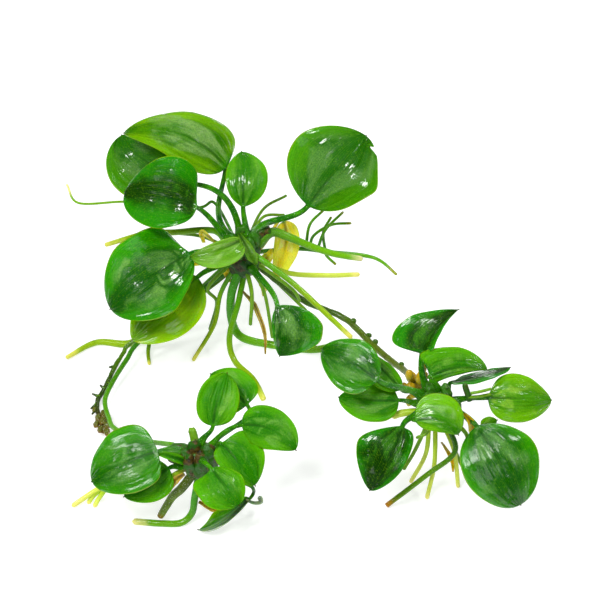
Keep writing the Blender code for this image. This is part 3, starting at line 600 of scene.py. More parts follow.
def leaf_finish(name, deep, bright, painted_sheen, painted_sheen_share=0.5, yellow=0.0, under=(84, 140, 30),
                stalk=(26, 100, 0), lit=0.30, wetness=0.5, ripple=0.16, painted_sheen_side=0.0):
    """Leaf surface: deep green beside the midrib, and brighter towards the rim in soft uneven patches.

    Over it lie paler fans of painted sheen, fine arching veins, a thin light rim, a brown tip and a
    broken film of water. One half can take the same painted sheen. The underside and the stalk have
    colours of their own, and the stalk has white specks of painted glint.
    """
    made, shader, where = new_finish(name)
    across, along, off = marks_of(where, "place")
    above, is_stalk, sheath = marks_of(where, "look")
    edge = sum_of("ABSOLUTE", across)
    slow = cloud(where, 42.0, 2.0)
    middling = cloud(where, 190.0, 4.0, 0.6)
    grain = cloud(where, 1300.0, 3.0, 0.7)
    uneven = less(middling, 0.5)

    # Mask of the pale fans of painted sheen: soft wedges that spread from the base of the blade.
    fan_turn = sum_of("DIVIDE", across, plus(along, 0.30))
    fans = cloud(place_of(times(fan_turn, 1.6), times(along, 1.6), times(slow, 3.0)), 1.3, 2.0)
    sway = times(less(fans, 0.5), 0.9)
    outer = less(edge, times(along, 0.55))
    painted_sheen_mask = times(ramp(less(edge, sway), 0.0, 0.30), ramp(plus(outer, sway), 0.10, 0.34, 1.0, 0.0))
    painted_sheen_mask = times(painted_sheen_mask, ramp(plus(along, sway), 0.50, 0.85, 1.0, 0.0))
    each_side = place_of(sum_of("SIGN", across), times(slow, 1.5))
    shifted = add_node(where.id_data, "VectorMath", [(0, each_side), (1, where)], operation="ADD")
    lively = cloud(shifted.outputs[0], 9.0, 0.0)
    painted_sheen_mask = times(painted_sheen_mask, ramp(lively, 0.62 - 0.4 * painted_sheen_share, 0.78 - 0.4 * painted_sheen_share, 0.1, 0.9))
    painted_sheen_mask = times(painted_sheen_mask, ramp(grain, 0.38, 0.62, 0.70, 1.10))

    vein_count = plus(times(edge, VEIN_COUNT), times(uneven, 0.35))
    vein = ramp(sum_of("PINGPONG", vein_count, 0.5), 0.0, 0.045, 1.0, 0.0)
    fine = ramp(sum_of("PINGPONG", times(vein_count, 4.0), 0.5), 0.0, 0.2, 1.0, 0.0)
    ladder = ramp(cloud(place_of(times(edge, 14.0), times(along, 70.0)), 1.0, 2.0), 0.50, 0.62)
    rib = times(ramp(sum_of("ABSOLUTE", off), 0.02, 0.10, 1.0, 0.0), ramp(along, 0.15, 0.80, 0.6, 0.0))

    coats = [
        # Pale fans of painted sheen: the soft reflection of a lamp, laid into the colour.
        (painted_sheen_mask, painted_sheen),
        (times(vein, 0.20), (106, 168, 16)),
        (times(fine, 0.10), (120, 178, 16)),
        (times(ladder, 0.14), (6, 50, 0)),
        (ramp(grain, 0.52, 0.72, 0.0, 0.22), (136, 188, 30)),
        (ramp(grain, 0.30, 0.46, 0.25, 0.0), (4, 40, 0)),
    ]
    # Painted sheen over one half of the blade, which lightens that half where it lies in shade.
    if painted_sheen_side:
        coats.append((ramp(across, 0.25, 0.5, painted_sheen_side, 0.0), painted_sheen))
    if yellow:
        blotch = plus(cloud(where, 70.0, 4.0), times(edge, 0.12))
        coats.append((ramp(blotch, 0.80 - yellow, 0.95 - yellow * 0.6), (170, 190, 2)))
    coats += [
        (rib, (12, 60, 4)),
        (ramp(edge, 0.965, 0.99, 0.0, 0.7), (120, 168, 20)),
        (ramp(along, 0.99, 1.02), (86, 76, 16)),
    ]
    rimwards = plus(ramp(edge, 0.15, 0.95), times(uneven, 0.9))
    rimwards = plus(rimwards, times(less(slow, 0.5), 2.2))
    upper = coated(mix(ramp(rimwards, 0.0, 1.0), deep, bright), coats)
    lower = mix(times(vein, 0.5), under, (126, 170, 60))
    on_stalk = coated(mix(ramp(middling, 0.38, 0.62), stalk, (62, 138, 2)), [
        (ramp(grain, 0.60, 0.72, 0.0, 0.4), (104, 160, 50)),
        (times(sheath, 0.4), (56, 112, 6)),
        # White specks: painted glints of water on the wet stalk.
        (ramp(cloud(where, PAINTED_GLINT_SCALE, 2.0), 0.66, 0.73, 0.0, 0.6), (226, 236, 210)),
    ])
    fill(shader, [("Base Color", mix(is_stalk, mix(above, lower, upper), on_stalk)),
                  ("Roughness", ramp(fans, 0.35, 0.65, 0.44, 0.36)), ("Specular IOR Level", 0.04),
                  ("Subsurface Weight", lit), ("Subsurface Radius", (0.5, 1.0, 0.03)),
                  ("Subsurface Scale", LIT_DEPTH)])

    film = cloud(place_of(times(across, 22.0), times(along, 12.0), slow), 1.0, 5.0, 0.7)
    drops = add_node(where.id_data, "TexVoronoi", [("Vector", where), ("Scale", 520.0)], feature="F1")
    bead = times(ramp(drops.outputs["Distance"], 0.10, 0.30, 1.0, 0.0), ramp(middling, 0.52, 0.56))
    folds = cloud(place_of(times(across, 5.0), times(along, 1.6), slow), 0.8, 1.5)
    folds_up = bump(folds, 1.0, 0.0016)
    veins_up = bump(plus(vein, times(grain, 1.2)), 0.25, 0.0003, folds_up)
    film_up = bump(bead, 0.9, 0.0003, bump(film, ripple, 0.0003, folds_up))
    wet(shader, veins_up, film_up, 0.5, 0.05)
    pools = plus(cloud(where, 75.0, 5.0, 0.62), times(bead, 0.3))
    fill(shader, [("Coat Weight", ramp(pools, 0.62 - 0.2 * wetness, 0.65 - 0.2 * wetness, 0.05, 1.0))])
    return made


# Very deep green, which is partly the leaves' own colour and partly painted shade.
DARK_LEAF = leaf_finish("leaf_dark", (0, 50, 0), (30, 120, 0), (50, 112, 24), 0.1,
                        under=(40, 92, 10), lit=0.2, wetness=0.35)
DEEP_LEAF = leaf_finish("leaf_deep", (8, 78, 0), (40, 128, 0), (98, 146, 70), 0.65)
# Leaf whose blade lies mostly under pale fans of painted sheen.
PAINTED_SHEEN_LEAF = leaf_finish("leaf_painted_sheen", (46, 106, 0), (98, 150, 4), (112, 150, 80), 0.9)
LARGE_LEAF = leaf_finish("leaf_large", (26, 90, 0), (58, 122, 4), (78, 124, 56), 0.85, wetness=0.35)
MID_LEAF = leaf_finish("leaf_mid", (36, 112, 0), (72, 144, 2), (92, 148, 48), 0.5, wetness=0.35)
YOUNG_LEAF = leaf_finish("leaf_young", (84, 142, 24), (110, 162, 50), (136, 176, 92), 0.5)
YELLOWING_LEAF = leaf_finish("leaf_yellowing", (100, 156, 0), (142, 186, 0), (160, 196, 24), 0.2,
                             yellow=0.15, under=(120, 160, 20), lit=0.5)
WITHERED_LEAF = leaf_finish("leaf_withered", (252, 222, 20), (255, 244, 80), (255, 248, 150), 0.5,
                            under=(255, 232, 60), stalk=(236, 206, 50), lit=0.5)


def make_leaf(name, crown, start, base, middle, tip, widths, face, material=MID_LEAF, slot="leaf", **form):
    """One leaf as a piece, in place of its plain solid."""
    skin = leaf_skin(crown, start, base, middle, tip, widths, face, **form)
    make_piece(name + "_blade", [skin], material, slot, name)


make_leaf("mother_leaf_back_left", MOTHER, (128, 42), (-9, 31, 82), (-31, 36, 99), (-60, 46, 92),
          (13, 19.2), (0, -0.25, 0.97), PAINTED_SHEEN_LEAF, cup=(-6, -6), widest=0.65, lobe=(1, 10),
          sway=(-6, 0, -3), bulges=((1, 0.28, 2.2, 0.2),), quilt=0.45)
make_leaf("mother_leaf_far_left", MOTHER, (108, 60), (-32, 33, 70), (-53, 46, 77), (-63, 59, 81), (20, 13),
          (-0.2, -0.5, 0.85), LARGE_LEAF, cup=(-3, -1), sway=(0, -2, 8.5), phase=1.0)
make_leaf("mother_leaf_left", MOTHER, (165, 50), (-23, 7, 76), (-38, 6, 83), (-58, 15, 79), (18, 21),
          (0, -0.5, 0.87), DARK_LEAF, cup=(3, 3), widest=0.95, lobe=(-4, 3), blunt=0.5, phase=2.0)
make_leaf("mother_leaf_front_left", MOTHER, (200, 25), (-26, -11, 61), (-44, -29.3, 61.5), (-63, -37.5, 49),
          (20, 23.5), (-0.1, -0.6, 0.8), DEEP_LEAF, cup=(-2, -2), widest=0.95, lobe=(-5, 10), blunt=0.5,
          phase=3.0)
make_leaf("mother_leaf_yellowing", MOTHER, (205, -5), (-23, -9, 44), (-38, -25, 38), (-54, -36, 27), (16, 15),
          (0, -0.6, 0.8), YELLOWING_LEAF, "leaf_yellow_green", cup=(-2, -2), phase=4.0)
make_leaf("mother_leaf_back", MOTHER, (65, 76), (0, 11, 73), (0, 19, 84), (-1, 33, 90), (8.5, 12.3),
          (0, -0.75, 0.65), MID_LEAF, cup=(1, 1), widest=1.05, lobe=(1, 1), phase=5.0)
make_leaf("mother_leaf_right", MOTHER, (45, 58), (32, 15, 70.3), (46.7, 31, 81.3), (61.5, 54, 84.3),
          (26, 19), (0.1, -0.55, 0.83), LARGE_LEAF, cup=(-3, -3), petiole=(1.8, 1.3), widest=1.05,
          blunt=0.5, bulges=((1, 0.6, 3, 0.15), (1, 0.93, -4.5, 0.018)), phase=0.5)
make_leaf("mother_leaf_young", MOTHER, (-110, 70), (0, -6, 66), (-12, -14, 66), (-25, -14, 62), (9, 4),
          (0, -0.7, 0.7), YOUNG_LEAF, cup=(2, 1), petiole=(1.2, 0.8), phase=1.5)
make_leaf("mother_leaf_front", MOTHER, (-58, -10), (17, -28, 42), (18, -38, 35), (18, -42, 22), (21.2, 4),
          (-0.1, -0.85, 0.5), DEEP_LEAF, fold=(-2, -3), petiole=(1.6, 1.2), blunt=0.5, lobe=(-2, 1),
          bulges=((0, 0.75, 2, 0.15),), phase=2.5)
make_leaf("mother_leaf_withered", MOTHER, (32, 10), (20, 19, 57), (20.5, 13.5, 45), (15, 9.5, 27), (7, 5.8),
          (0, -0.9, 0.3), WITHERED_LEAF, "leaf_yellow", fold=(2, 2), petiole=(1.0, 0.8), wave=1.2,
          phase=3.5)

# Roots of the mother rosette: round, smooth and fleshy, green where light reaches them and pale
# towards the growing tip. They grow from the crown, spread, and carry the plant.


def root_finish(name, near, far, tip, dark, dark_share, painted_glint_share=0.2):
    """Root skin: one colour near the crown, another far from it and a third at the tip.

    Over it lie darker length-wise smears, faint rings and small white specks of painted glint.
    """
    made, shader, where = new_finish(name)
    share, side, run = marks_of(where, "place")
    smears = cloud(place_of(times(side, 2.2), run), 2.4, 4.0, 0.6)
    rings = cloud(place_of(side, times(run, 22.0)), 1.0, 3.0)
    shifted = plus(share, times(less(cloud(where, 90.0), 0.5), 0.25))
    colour = coated(mix(ramp(shifted, 0.15, 0.75), near, far), [
        (ramp(shifted, 0.86, 0.99), tip),
        (ramp(smears, 0.50, 0.72, 0.0, dark_share), dark),
        (ramp(rings, 0.60, 0.74, 0.0, 0.25), (206, 206, 136)),
        # Small white specks: painted glints of water on the wet root.
        (ramp(cloud(where, PAINTED_GLINT_SCALE, 2.0), 0.62, 0.70, 0.0, painted_glint_share), (230, 236, 210)),
    ])
    fill(shader, [("Base Color", colour), ("Roughness", ramp(smears, 0.3, 0.7, 0.40, 0.55)),
                  ("Specular IOR Level", 0.06), ("Subsurface Weight", 0.10),
                  ("Subsurface Radius", (0.8, 1.0, 0.2)), ("Subsurface Scale", LIT_DEPTH)])
    surface = bump(rings, 0.35, 0.0003, bump(smears, 0.4, 0.0006))
    wet(shader, surface, bump(cloud(where, 900.0), 0.4, 0.0003), 0.4, 0.08)
    return made


GREEN_ROOT = root_finish("root_green", (84, 152, 0), (144, 180, 14), (222, 218, 90), (50, 112, 0), 0.4)
VIVID_ROOT = root_finish("root_vivid", (60, 144, 0), (106, 172, 0), (240, 232, 140), (34, 104, 0), 0.5)
PALE_ROOT = root_finish("root_pale", (166, 202, 40), (210, 224, 84), (240, 232, 120), (120, 160, 16), 0.3)
THICK_ROOT = root_finish("root_thick", (70, 128, 8), (112, 180, 4), (226, 222, 150), (48, 104, 0), 0.4)
SPRIG_ROOT = root_finish("root_sprig", (60, 132, 0), (96, 164, 2), (140, 150, 20), (36, 96, 0), 0.5)
THREAD_ROOT = root_finish("root_thread", (64, 136, 0), (116, 166, 20), (232, 226, 140), (46, 104, 0), 0.4)


def make_root(name, crown, start, points, radii, material=GREEN_ROOT, slot="root", branches=(), **form):
    """One root as a piece in place of its plain solid; branches are (points, radii)."""
    skins = [root_skin(crown, start, points, radii, **form)]
    skins += [branch_skin(crown, *branch) for branch in branches]
    make_piece(name + "_skin", skins, material, slot, name)


make_root("mother_root_right", MOTHER, (18, 38),
          [(14, 8, 59), (22, 7, 57), (33, 7, 51), (45, 8, 45), (59, 10, 40)], (2.6, 2.3, 1.9, 1.7, 1.4),
          THICK_ROOT)
make_root("mother_root_right_low", MOTHER, (52, -18),
          [(27, 25, 34), (43, 27, 30), (61, 29, 26), (70, 28, 23), (78, 22, 19)], (1.2, 1.1, 0.7),
          SPRIG_ROOT, "root_dark", branches=[
              ([(31, 26, 33), (33, 32, 44), (40, 39, 48)], (0.8, 0.7)),
              ([(33, 26, 33), (35, 27, 41), (44, 32, 44), (54, 31, 46)], (0.8, 0.7)),
              ([(37, 27, 32), (41, 28, 44), (50, 35, 50)], (0.8, 0.7)),
              ([(41, 27, 31), (40, 30, 41), (44, 37, 45)], (0.8, 0.7)),
              ([(41, 27, 30), (42, 21, 32), (46, 14, 33)], (0.8, 0.7))])
make_root("mother_root_right_pale", MOTHER, (36, -36), [(22, 6, 34), (41, 11, 28), (58, 14, 26)],
          (1.3, 1.3, 1.2), PALE_ROOT)
make_root("mother_root_front_right", MOTHER, (-46, 40), [(12, -10, 54), (24, -16, 47), (35, -23, 40),
          (44, -29, 34), (53, -35, 28)], (1.5, 1.4, 1.2))
make_root("mother_root_left", MOTHER, (150, 15), [(-15, 14, 55), (-36, 20, 49), (-51, 25, 44), (-72, 28, 34)],
          (1.7, 1.6, 1.2))
make_root("mother_root_far_left", MOTHER, (115, 20),
          [(-15, 32, 58), (-23, 34, 54), (-44, 43, 48), (-64, 51, 44), (-89, 60, 36), (-95.5, 68, 42)],
          (0.8, 0.7, 0.6), THREAD_ROOT, "root_dark")
make_root("mother_root_front", MOTHER, (-130, -60),
          [(-6.5, -6.5, 30), (-6.8, -6.5, 14), (-2.6, -9.2, 4.7), (9, -11.5, 1.7), (35, -16, 1.5),
           (50, -10, 1.4)], (2.2, 2.1, 1.8), VIVID_ROOT)
make_root("mother_root_to_viewer", MOTHER, (-95, -74),
          [(-3, -9, 27), (-7.5, -18, 12), (-5, -25, 2.4), (4.5, -37, 1.2), (10, -51, 1.2)], (1.5, 1.5, 1.5))
make_root("mother_root_front_left", MOTHER, (-152, -48),
          [(-12, -6, 30), (-15.5, -13.5, 16), (-26, -23, 0.8)], (1.2, 1.2, 1.0))
make_root("mother_root_floor_left", MOTHER, (152, -40),
          [(-28, 1, 20), (-44, -6, 7), (-59, -12, 2), (-76, -11, 1.7), (-90, -22, 1.7)],
          (1.6, 2.0, 1.9, 1.1), branches=[([(-48, -9, 5), (-49, -18, 2.5), (-48, -26, 1)], (1.1, 0.9))])

# Remains of old leaves on the mother rosette: thin yellow and brown strips that hang between the roots
# and stand behind the stalks, and the dry brown sheath at the base of the thick right root.
STRIP_THICK = 0.4
STRIP_RING = 28
STRIP_STEP = 0.5


def strip_skin(crown, points, widths, face, curl=0.3, wrinkle=0.5):
    """Thin strip along a way, as wide to each side as widths, with rolled sides and uneven wrinkles."""
    way, share = smooth_way(from_crown(crown, points), STRIP_STEP)
    heading = unit(np.gradient(way, axis=0))
    right = unit(np.cross(heading, np.array(face, float)))
    up = np.cross(right, heading)
    half = np.interp(share, np.linspace(0, 1, len(widths)), widths)[:, None]
    turn = np.arange(STRIP_RING) * math.tau / STRIP_RING
    sideways = half * np.cos(turn)
    middle = way[:, None] + right[:, None] * sideways[..., None]
    lift = STRIP_THICK / 2 * np.sin(turn) + curl * half * np.cos(turn) ** 2 + wrinkle * roughened(middle, 5.0)
    rings = middle + up[:, None] * lift[..., None]
    place = marked(np.cos(turn)[None], share[:, None], sideways / 10)
    look = np.zeros_like(place)
    look[..., 0] = 1.0
    return skin_over(rings, rings[0].mean(axis=0), rings[-1].mean(axis=0), [place, look])


def make_strips(name, crown, strips, material, slot):
    """Strips as one piece, each (points, widths, face) and for some their curl and wrinkle."""
    make_piece(name, [strip_skin(crown, *strip) for strip in strips], material, slot)


DRY_LEAF = leaf_finish("leaf_dry", (176, 130, 40), (222, 184, 84), (232, 206, 130), 0.5,
                       under=(190, 150, 70), stalk=(150, 110, 40), lit=0.3)
make_strips("mother_old_yellow", MOTHER, [
    ([(-4, -2, 47), (-8, -2, 42), (-7, -2, 35)], (1.0, 2.6, 0.5), (0, -1, 0.3)),
    ([(4, 6, 40), (9.5, 6, 42), (12.5, 6, 46), (14, 6, 50)], (0.8, 3.0, 2.6, 0.6), (0, -0.9, 0.4)),
    ([(5, 0, 38), (9.5, 0, 32), (9.5, 0, 24)], (0.6, 2.4, 0.5), (0, -0.9, 0.4)),
    ([(-14, 6, 54), (-20.5, 8, 59), (-20, 8, 52.5)], (0.5, 1.6, 0.8), (0, -0.8, 0.6)),
    ([(-16, 4, 45), (-23, 6, 41), (-28, 6, 38.5)], (0.6, 1.6, 0.6), (0, -0.8, 0.6)),
], WITHERED_LEAF, "leaf_yellow")
make_strips("mother_young_sheath", MOTHER, [
    ([(-1.5, -7.5, 71), (1.5, -8.5, 65), (4.5, -9, 58), (6.5, -8.5, 52)], (0.8, 2.4, 2.6, 0.5),
     (0.2, -1, 0.5), 0.5),
], YOUNG_LEAF, "leaf")
make_strips("mother_old_strip", MOTHER, [
    ([(-0.5, -8, 34), (5, -9, 26), (10, -14, 12), (10.5, -22, 4)], (0.5, 1.3, 1.0, 0.4), (0, -1, 0.2)),
], DRY_LEAF, "leaf_yellow")
make_piece("mother_root_sheath", [branch_skin(MOTHER, [(4, 4, 59), (9, 6.5, 60), (13, 8, 60)],
                                              (3.0, 2.7, 2.5), knobs=0.2, tip=False)], YOUNG_BARK, "crown")

# Leaves of the left young rosette: smaller and brighter than the mother's, on short stalks. One lies
# folded like a boat on the surface, with a small young leaf curled beside it.
FRESH_LEAF = leaf_finish("leaf_fresh", (34, 114, 0), (74, 148, 4), (96, 154, 56), 0.4, wetness=0.1)
MATTE_LEAF = leaf_finish("leaf_matte", (40, 120, 0), (78, 150, 6), (104, 160, 56), 0.4, wetness=-0.5)
OUTER_LEAF = leaf_finish("leaf_outer", (12, 86, 2), (46, 126, 8), (88, 140, 66), 0.4, wetness=0.9, ripple=0.4)
make_leaf("left_leaf_outer", LEFT, (178, 35), (-18.5, 0, 39.8), (-33, -5, 37.6), (-48.2, -7, 27.8),
          (14, 17), (-0.2, -0.5, 0.85), OUTER_LEAF, cup=(-2, -2), lobe=(3, 3), blunt=0.5, phase=0.2)
make_leaf("left_leaf_outer_low", LEFT, (190, -5), (-14, -1, 30), (-23, -6, 27), (-34, -9, 20), (10, 8),
          (-0.1, -0.6, 0.8), FRESH_LEAF, cup=(-1, -1), petiole=(1.3, 0.9), phase=1.2)
make_leaf("left_leaf_back", LEFT, (80, 60), (6, 10, 46), (8, 19, 54), (12, 29, 60), (9, 10), (0, -0.7, 0.7),
          MATTE_LEAF, cup=(1, 1), petiole=(1.4, 0.9), widest=0.95, blunt=0.5, phase=2.2)
make_leaf("left_leaf_back_low", LEFT, (55, 25), (21, 23, 46), (13, 30, 50), (4, 39, 50), (9, 10.6),
          (0, -0.5, 0.85), FRESH_LEAF, petiole=(1.2, 0.9), lobe=(3, 3), phase=3.2)
make_leaf("left_leaf_right", LEFT, (30, 50), (19, 9, 47.5), (32, 8, 45.7), (43, 2, 39), (10.6, 9.5),
          (0.1, -0.5, 0.85), FRESH_LEAF, cup=(-2, -1), petiole=(1.4, 0.9), phase=4.2)
make_leaf("left_leaf_front_right", LEFT, (5, 35), (10, 1, 44), (18, -6, 39), (25, -12, 31), (13.5, 8),
          (0.2, -0.4, 0.9), FRESH_LEAF, cup=(1, 0), petiole=(1.2, 0.9), lobe=(3, 3), phase=5.2)
make_leaf("left_leaf_front", LEFT, (-75, 50), (6.5, -15, 44.5), (13, -24, 43), (18.5, -29, 37.5), (8.5, 12),
          (0, -0.6, 0.8), FRESH_LEAF, cup=(1, 1), petiole=(1.2, 0.9), lobe=(-3, 5), blunt=0.5, phase=0.9)
folded_skin = leaf_skin(LEFT, (-25, -20), (22, 2, 6), (9, -10.2, 1), (-1, -13.5, 2.2), (4, 4), (0, -0.2, 1),
                        fold=(9, 9), petiole=(1.0, 0.8))
folded_hook = branch_skin(LEFT, [(20, 1, 6.5), (23.6, -1.4, 7), (27, -1, 7), (26.5, 1.2, 7.8)], (0.6, 1.2))
# Its pale grey-green underside is partly its own colour and partly painted sheen, and painted sheen lightens
# one half.
FOLDED_LEAF = leaf_finish("leaf_folded", (54, 128, 4), (96, 164, 10), (146, 172, 134), 0.4,
                          under=(146, 170, 130), lit=0.4, painted_sheen_side=0.85)
make_piece("left_leaf_folded_blade", [folded_skin, folded_hook], FOLDED_LEAF, "leaf", "left_leaf_folded")

# Roots of the left rosette, which bend down to the surface and run along it, and the thin sheaths of
# leaf stalks beside them, old and dry or still green.
OLIVE_ROOT = root_finish("root_olive", (66, 84, 14), (96, 128, 16), (150, 104, 14), (44, 44, 6), 0.7, 0.7)
make_root("left_root_thick", LEFT, (-145, -52), [(-8.6, -4.6, 20.4), (-13.3, -4.5, 14), (-19, -6.5, 3.4)],
          (2.2, 2.1, 1.6), OLIVE_ROOT)
make_strips("left_old_sheath", LEFT, [
    ([(-7, -3.5, 29), (-11, -3.6, 25), (-14, -4.5, 19)], (0.8, 1.8, 0.5), (0, -0.8, 0.6)),
    ([(-1, -5, 12), (5, -6, 8.5), (10, -7, 7.5)], (0.8, 1.6, 0.4), (0, -0.8, 0.6), 0.3, 0.8),
], DRY_LEAF, "leaf_yellow")
make_strips("left_stalk_sheath", LEFT, [
    ([(-5, -3.4, 36), (-10, -3.4, 39.4), (-15, -2.8, 40.8), (-18, -2, 40)], (1.4, 2.0, 1.5, 0.4),
     (0, -0.7, 0.7), 0.5, 0.2),
], FRESH_LEAF, "leaf")
make_root("left_root_floor", LEFT, (-105, -65),
          [(-2.7, -5, 15), (-4.5, -6, 5), (-9.5, -8.6, 1.4), (-18, -8.8, 1.2), (-31, -7.6, 1.2)],
          (1.7, 1.6, 1.5), VIVID_ROOT)
make_root("left_root_far", LEFT, (178, -35), [(-23, 1, 16), (-40, 8, 9), (-47, 8, 7), (-60, 2.3, 0.9)],
          (1.2, 1.3, 1.2), PALE_ROOT, branches=[([(-46, 8, 7), (-51, 6, 3), (-53, 4, 0.8)], (1.1, 1.1)),
                                                ([(-44, 8, 7.5), (-48, 5, 3), (-50, 2, 0.8)], (1.1, 1.1))])

# Leaves of the right young rosette, the brightest of the three. The back one has its right half
# lifted, one stands on edge, and the front right one is large and dark.
LIME_LEAF = leaf_finish("leaf_lime", (64, 132, 0), (98, 158, 4), (130, 176, 56), 0.25)
SHINY_LEAF = leaf_finish("leaf_shiny", (50, 126, 0), (100, 168, 14), (126, 176, 90), 0.5, wetness=0.7)
make_leaf("right_leaf_left", RIGHT, (168, 38), (-27, 3, 57.3), (-39, 9, 62.3), (-52, 21, 59.3), (13, 12),
          (-0.1, -0.6, 0.8), OUTER_LEAF, cup=(-2, -2), blunt=0.55, lobe=(1.5, -1.5), phase=0.4)
make_leaf("right_leaf_left_behind", RIGHT, (140, 25), (-16, 7, 47), (-24, 18, 49), (-31, 30, 47), (8, 4.5),
          (0, -0.4, 0.9), FRESH_LEAF, petiole=(1.1, 0.8), phase=1.4)
make_leaf("right_leaf_left_low", RIGHT, (172, 5), (-17, 4, 43), (-30, 5, 42), (-44, 12, 37), (10, 9),
          (0, -0.5, 0.85), FRESH_LEAF, cup=(-1, -1), petiole=(1.3, 0.9), phase=2.4)
make_leaf("right_leaf_back", RIGHT, (125, 40), (-6.5, 16, 61.5), (-1, 27.5, 65), (11.7, 41, 65.5),
          (14.8, 5.5), (0, -0.2, 0.97), DARK_LEAF, fold=(2, 3), widest=0.5, blunt=0.9, lobe=(3.5, 2),
          phase=3.4)
make_leaf("right_leaf_back_middle", RIGHT, (85, 80), (-3, 5, 57.6), (11, 9, 59.5), (23, 9, 57.5), (11.4, 4),
          (0, -0.6, 0.8), MID_LEAF, cup=(-2, -1), petiole=(1.3, 0.9), widest=0.48, blunt=0.7, lobe=(6.5, 5))
make_leaf("right_leaf_edge_on", RIGHT, (45, 35), (7, 7, 51.5), (20, 8, 54.3), (34, 14, 54.3), (7, 7),
          (0, 0.45, 0.9), DARK_LEAF, petiole=(1.1, 0.8), phase=4.4)
make_leaf("right_leaf_right", RIGHT, (5, 20), (23.5, 0, 48.5), (37.7, -2, 50.2), (52.5, 2, 45.2), (12, 11),
          (0.1, -0.5, 0.85), LIME_LEAF, cup=(-1, -1), petiole=(1.4, 1.0), phase=5.4)
make_leaf("right_leaf_centre", RIGHT, (-120, 60), (-10.5, -16, 50.5), (0.5, -18, 52.7), (8.5, -20.3, 46),
          (12, 5.5), (0, -0.6, 0.8), SHINY_LEAF, cup=(-1, -1), petiole=(1.1, 0.8), phase=0.7)
make_leaf("right_leaf_front_left", RIGHT, (-150, 0), (-16, -12, 42), (-22, -24, 34), (-30.3, -28.5, 18),
          (7.5, 16.5), (-0.2, -0.75, 0.6), DARK_LEAF, cup=(-2, -2), widest=0.95, lobe=(5, 0), phase=1.7)
make_leaf("right_leaf_front_right", RIGHT, (-25, 5), (18, -12, 42), (27, -29, 37), (37, -38, 19),
          (18.6, 17), (0.1, -0.7, 0.7), OUTER_LEAF, cup=(-3, -3), widest=1.05, blunt=0.45, lobe=(0, 1.5),
          phase=2.7)
make_leaf("right_leaf_small", RIGHT, (-5, -12), (20.5, -7.5, 37.5), (24, -6.5, 39), (27.5, -5.5, 39.8),
          (3, 3), (0, -0.6, 0.8), LIME_LEAF, petiole=(0.8, 0.6), lobe=(0.5, 0.5), spur=0.6)

# Roots of the right rosette, thin and pale, which grow from its crown down to the surface, and a dark
# stalk of an old leaf that was cut off and lies between them.
DARK_ROOT = root_finish("root_dark", (46, 100, 0), (92, 146, 4), (176, 116, 14), (26, 56, 0), 0.5)
make_root("right_root_left", RIGHT, (-135, -64), [(-4, -8, 20), (-10, -8, 0.8)], (1.1, 1.0), PALE_ROOT)
make_root("right_root_front", RIGHT, (-90, -70), [(0, -11, 16), (-3, -18, 0.8)], (1.1, 1.0), PALE_ROOT)
make_root("right_root_pale", RIGHT, (-25, -68), [(9, -8, 22), (12, -11, 0.8)], (1.1, 1.0), PALE_ROOT)
make_root("right_stalk_cut", RIGHT, (-48, -38), [(9, -11, 25), (-4, -16, 14), (-22, -23, 1.1)], (1.2, 1.2),
          DARK_ROOT, "root_dark", tip=False)

# Small parts between the leaf stalks of the right rosette: two thin young roots and a brown stub of a
# stalk to the right of the crown, a yellow scrap of an old leaf, and a pale stub to the left.
make_piece("right_small_stalks", [
    branch_skin(RIGHT, [(15, -2, 53.6), (19, -2, 54.6), (24, -1, 55.4)], (0.7, 0.7), look=1.0),
    branch_skin(RIGHT, [(14, -2, 51), (19, -2, 51.6), (24, -1, 52)], (0.7, 0.7), look=1.0),
    branch_skin(RIGHT, [(15, -2, 49), (13, 0, 54), (12.3, 0.6, 56.4)], (1.5, 1.4, 1.3)),
], YOUNG_BARK, "crown")
GOLDEN_LEAF = leaf_finish("leaf_golden", (255, 184, 0), (255, 214, 16), (255, 226, 90), 0.3,
                          under=(255, 196, 10), stalk=(240, 170, 10), lit=0.5)
make_strips("right_old_yellow", RIGHT, [
    ([(12, -7, 46), (15, -9, 43), (16.5, -9.5, 37), (17, -10, 31)], (0.5, 1.6, 2.0, 0.4), (0, -0.9, 0.4)),
    ([(3, -6, 26), (8, -9, 18), (9, -11, 11)], (0.5, 1.2, 0.4), (0, -0.9, 0.4), 0.3, 0.8),
], GOLDEN_LEAF, "leaf_yellow")
make_piece("right_pale_stub", [branch_skin(RIGHT, [(-7, 2, 38), (-15.5, 2, 36.5), (-19, 2, 34)],
                                           (1.6, 1.8, 1.2))], PALE_ROOT, "root")

# Runners: long thin stems on which the young rosettes grew. The right one is olive brown with knobs,
# and carries yellow buds where it reaches the young rosette. A stalk of buds lies beside the left one.
KNOB_GRAIN = (2.4, 14, 22)  # wavelength, rows and columns of a knob's grid
RUNNER_BARK = root_finish("runner_bark", (56, 92, 10), (82, 100, 18), (110, 92, 30), (58, 44, 8), 0.7)
BUD_BARK = root_finish("bud_bark", (196, 160, 24), (178, 170, 30), (150, 104, 24), (120, 84, 10), 0.4)


def knob_skins(crown, rough, knobs):
    """Knobs or buds at their places, each (middle, size)."""
    return [lump_skin(from_crown(crown, [middle])[0], size, rough, *KNOB_GRAIN) for middle, size in knobs]


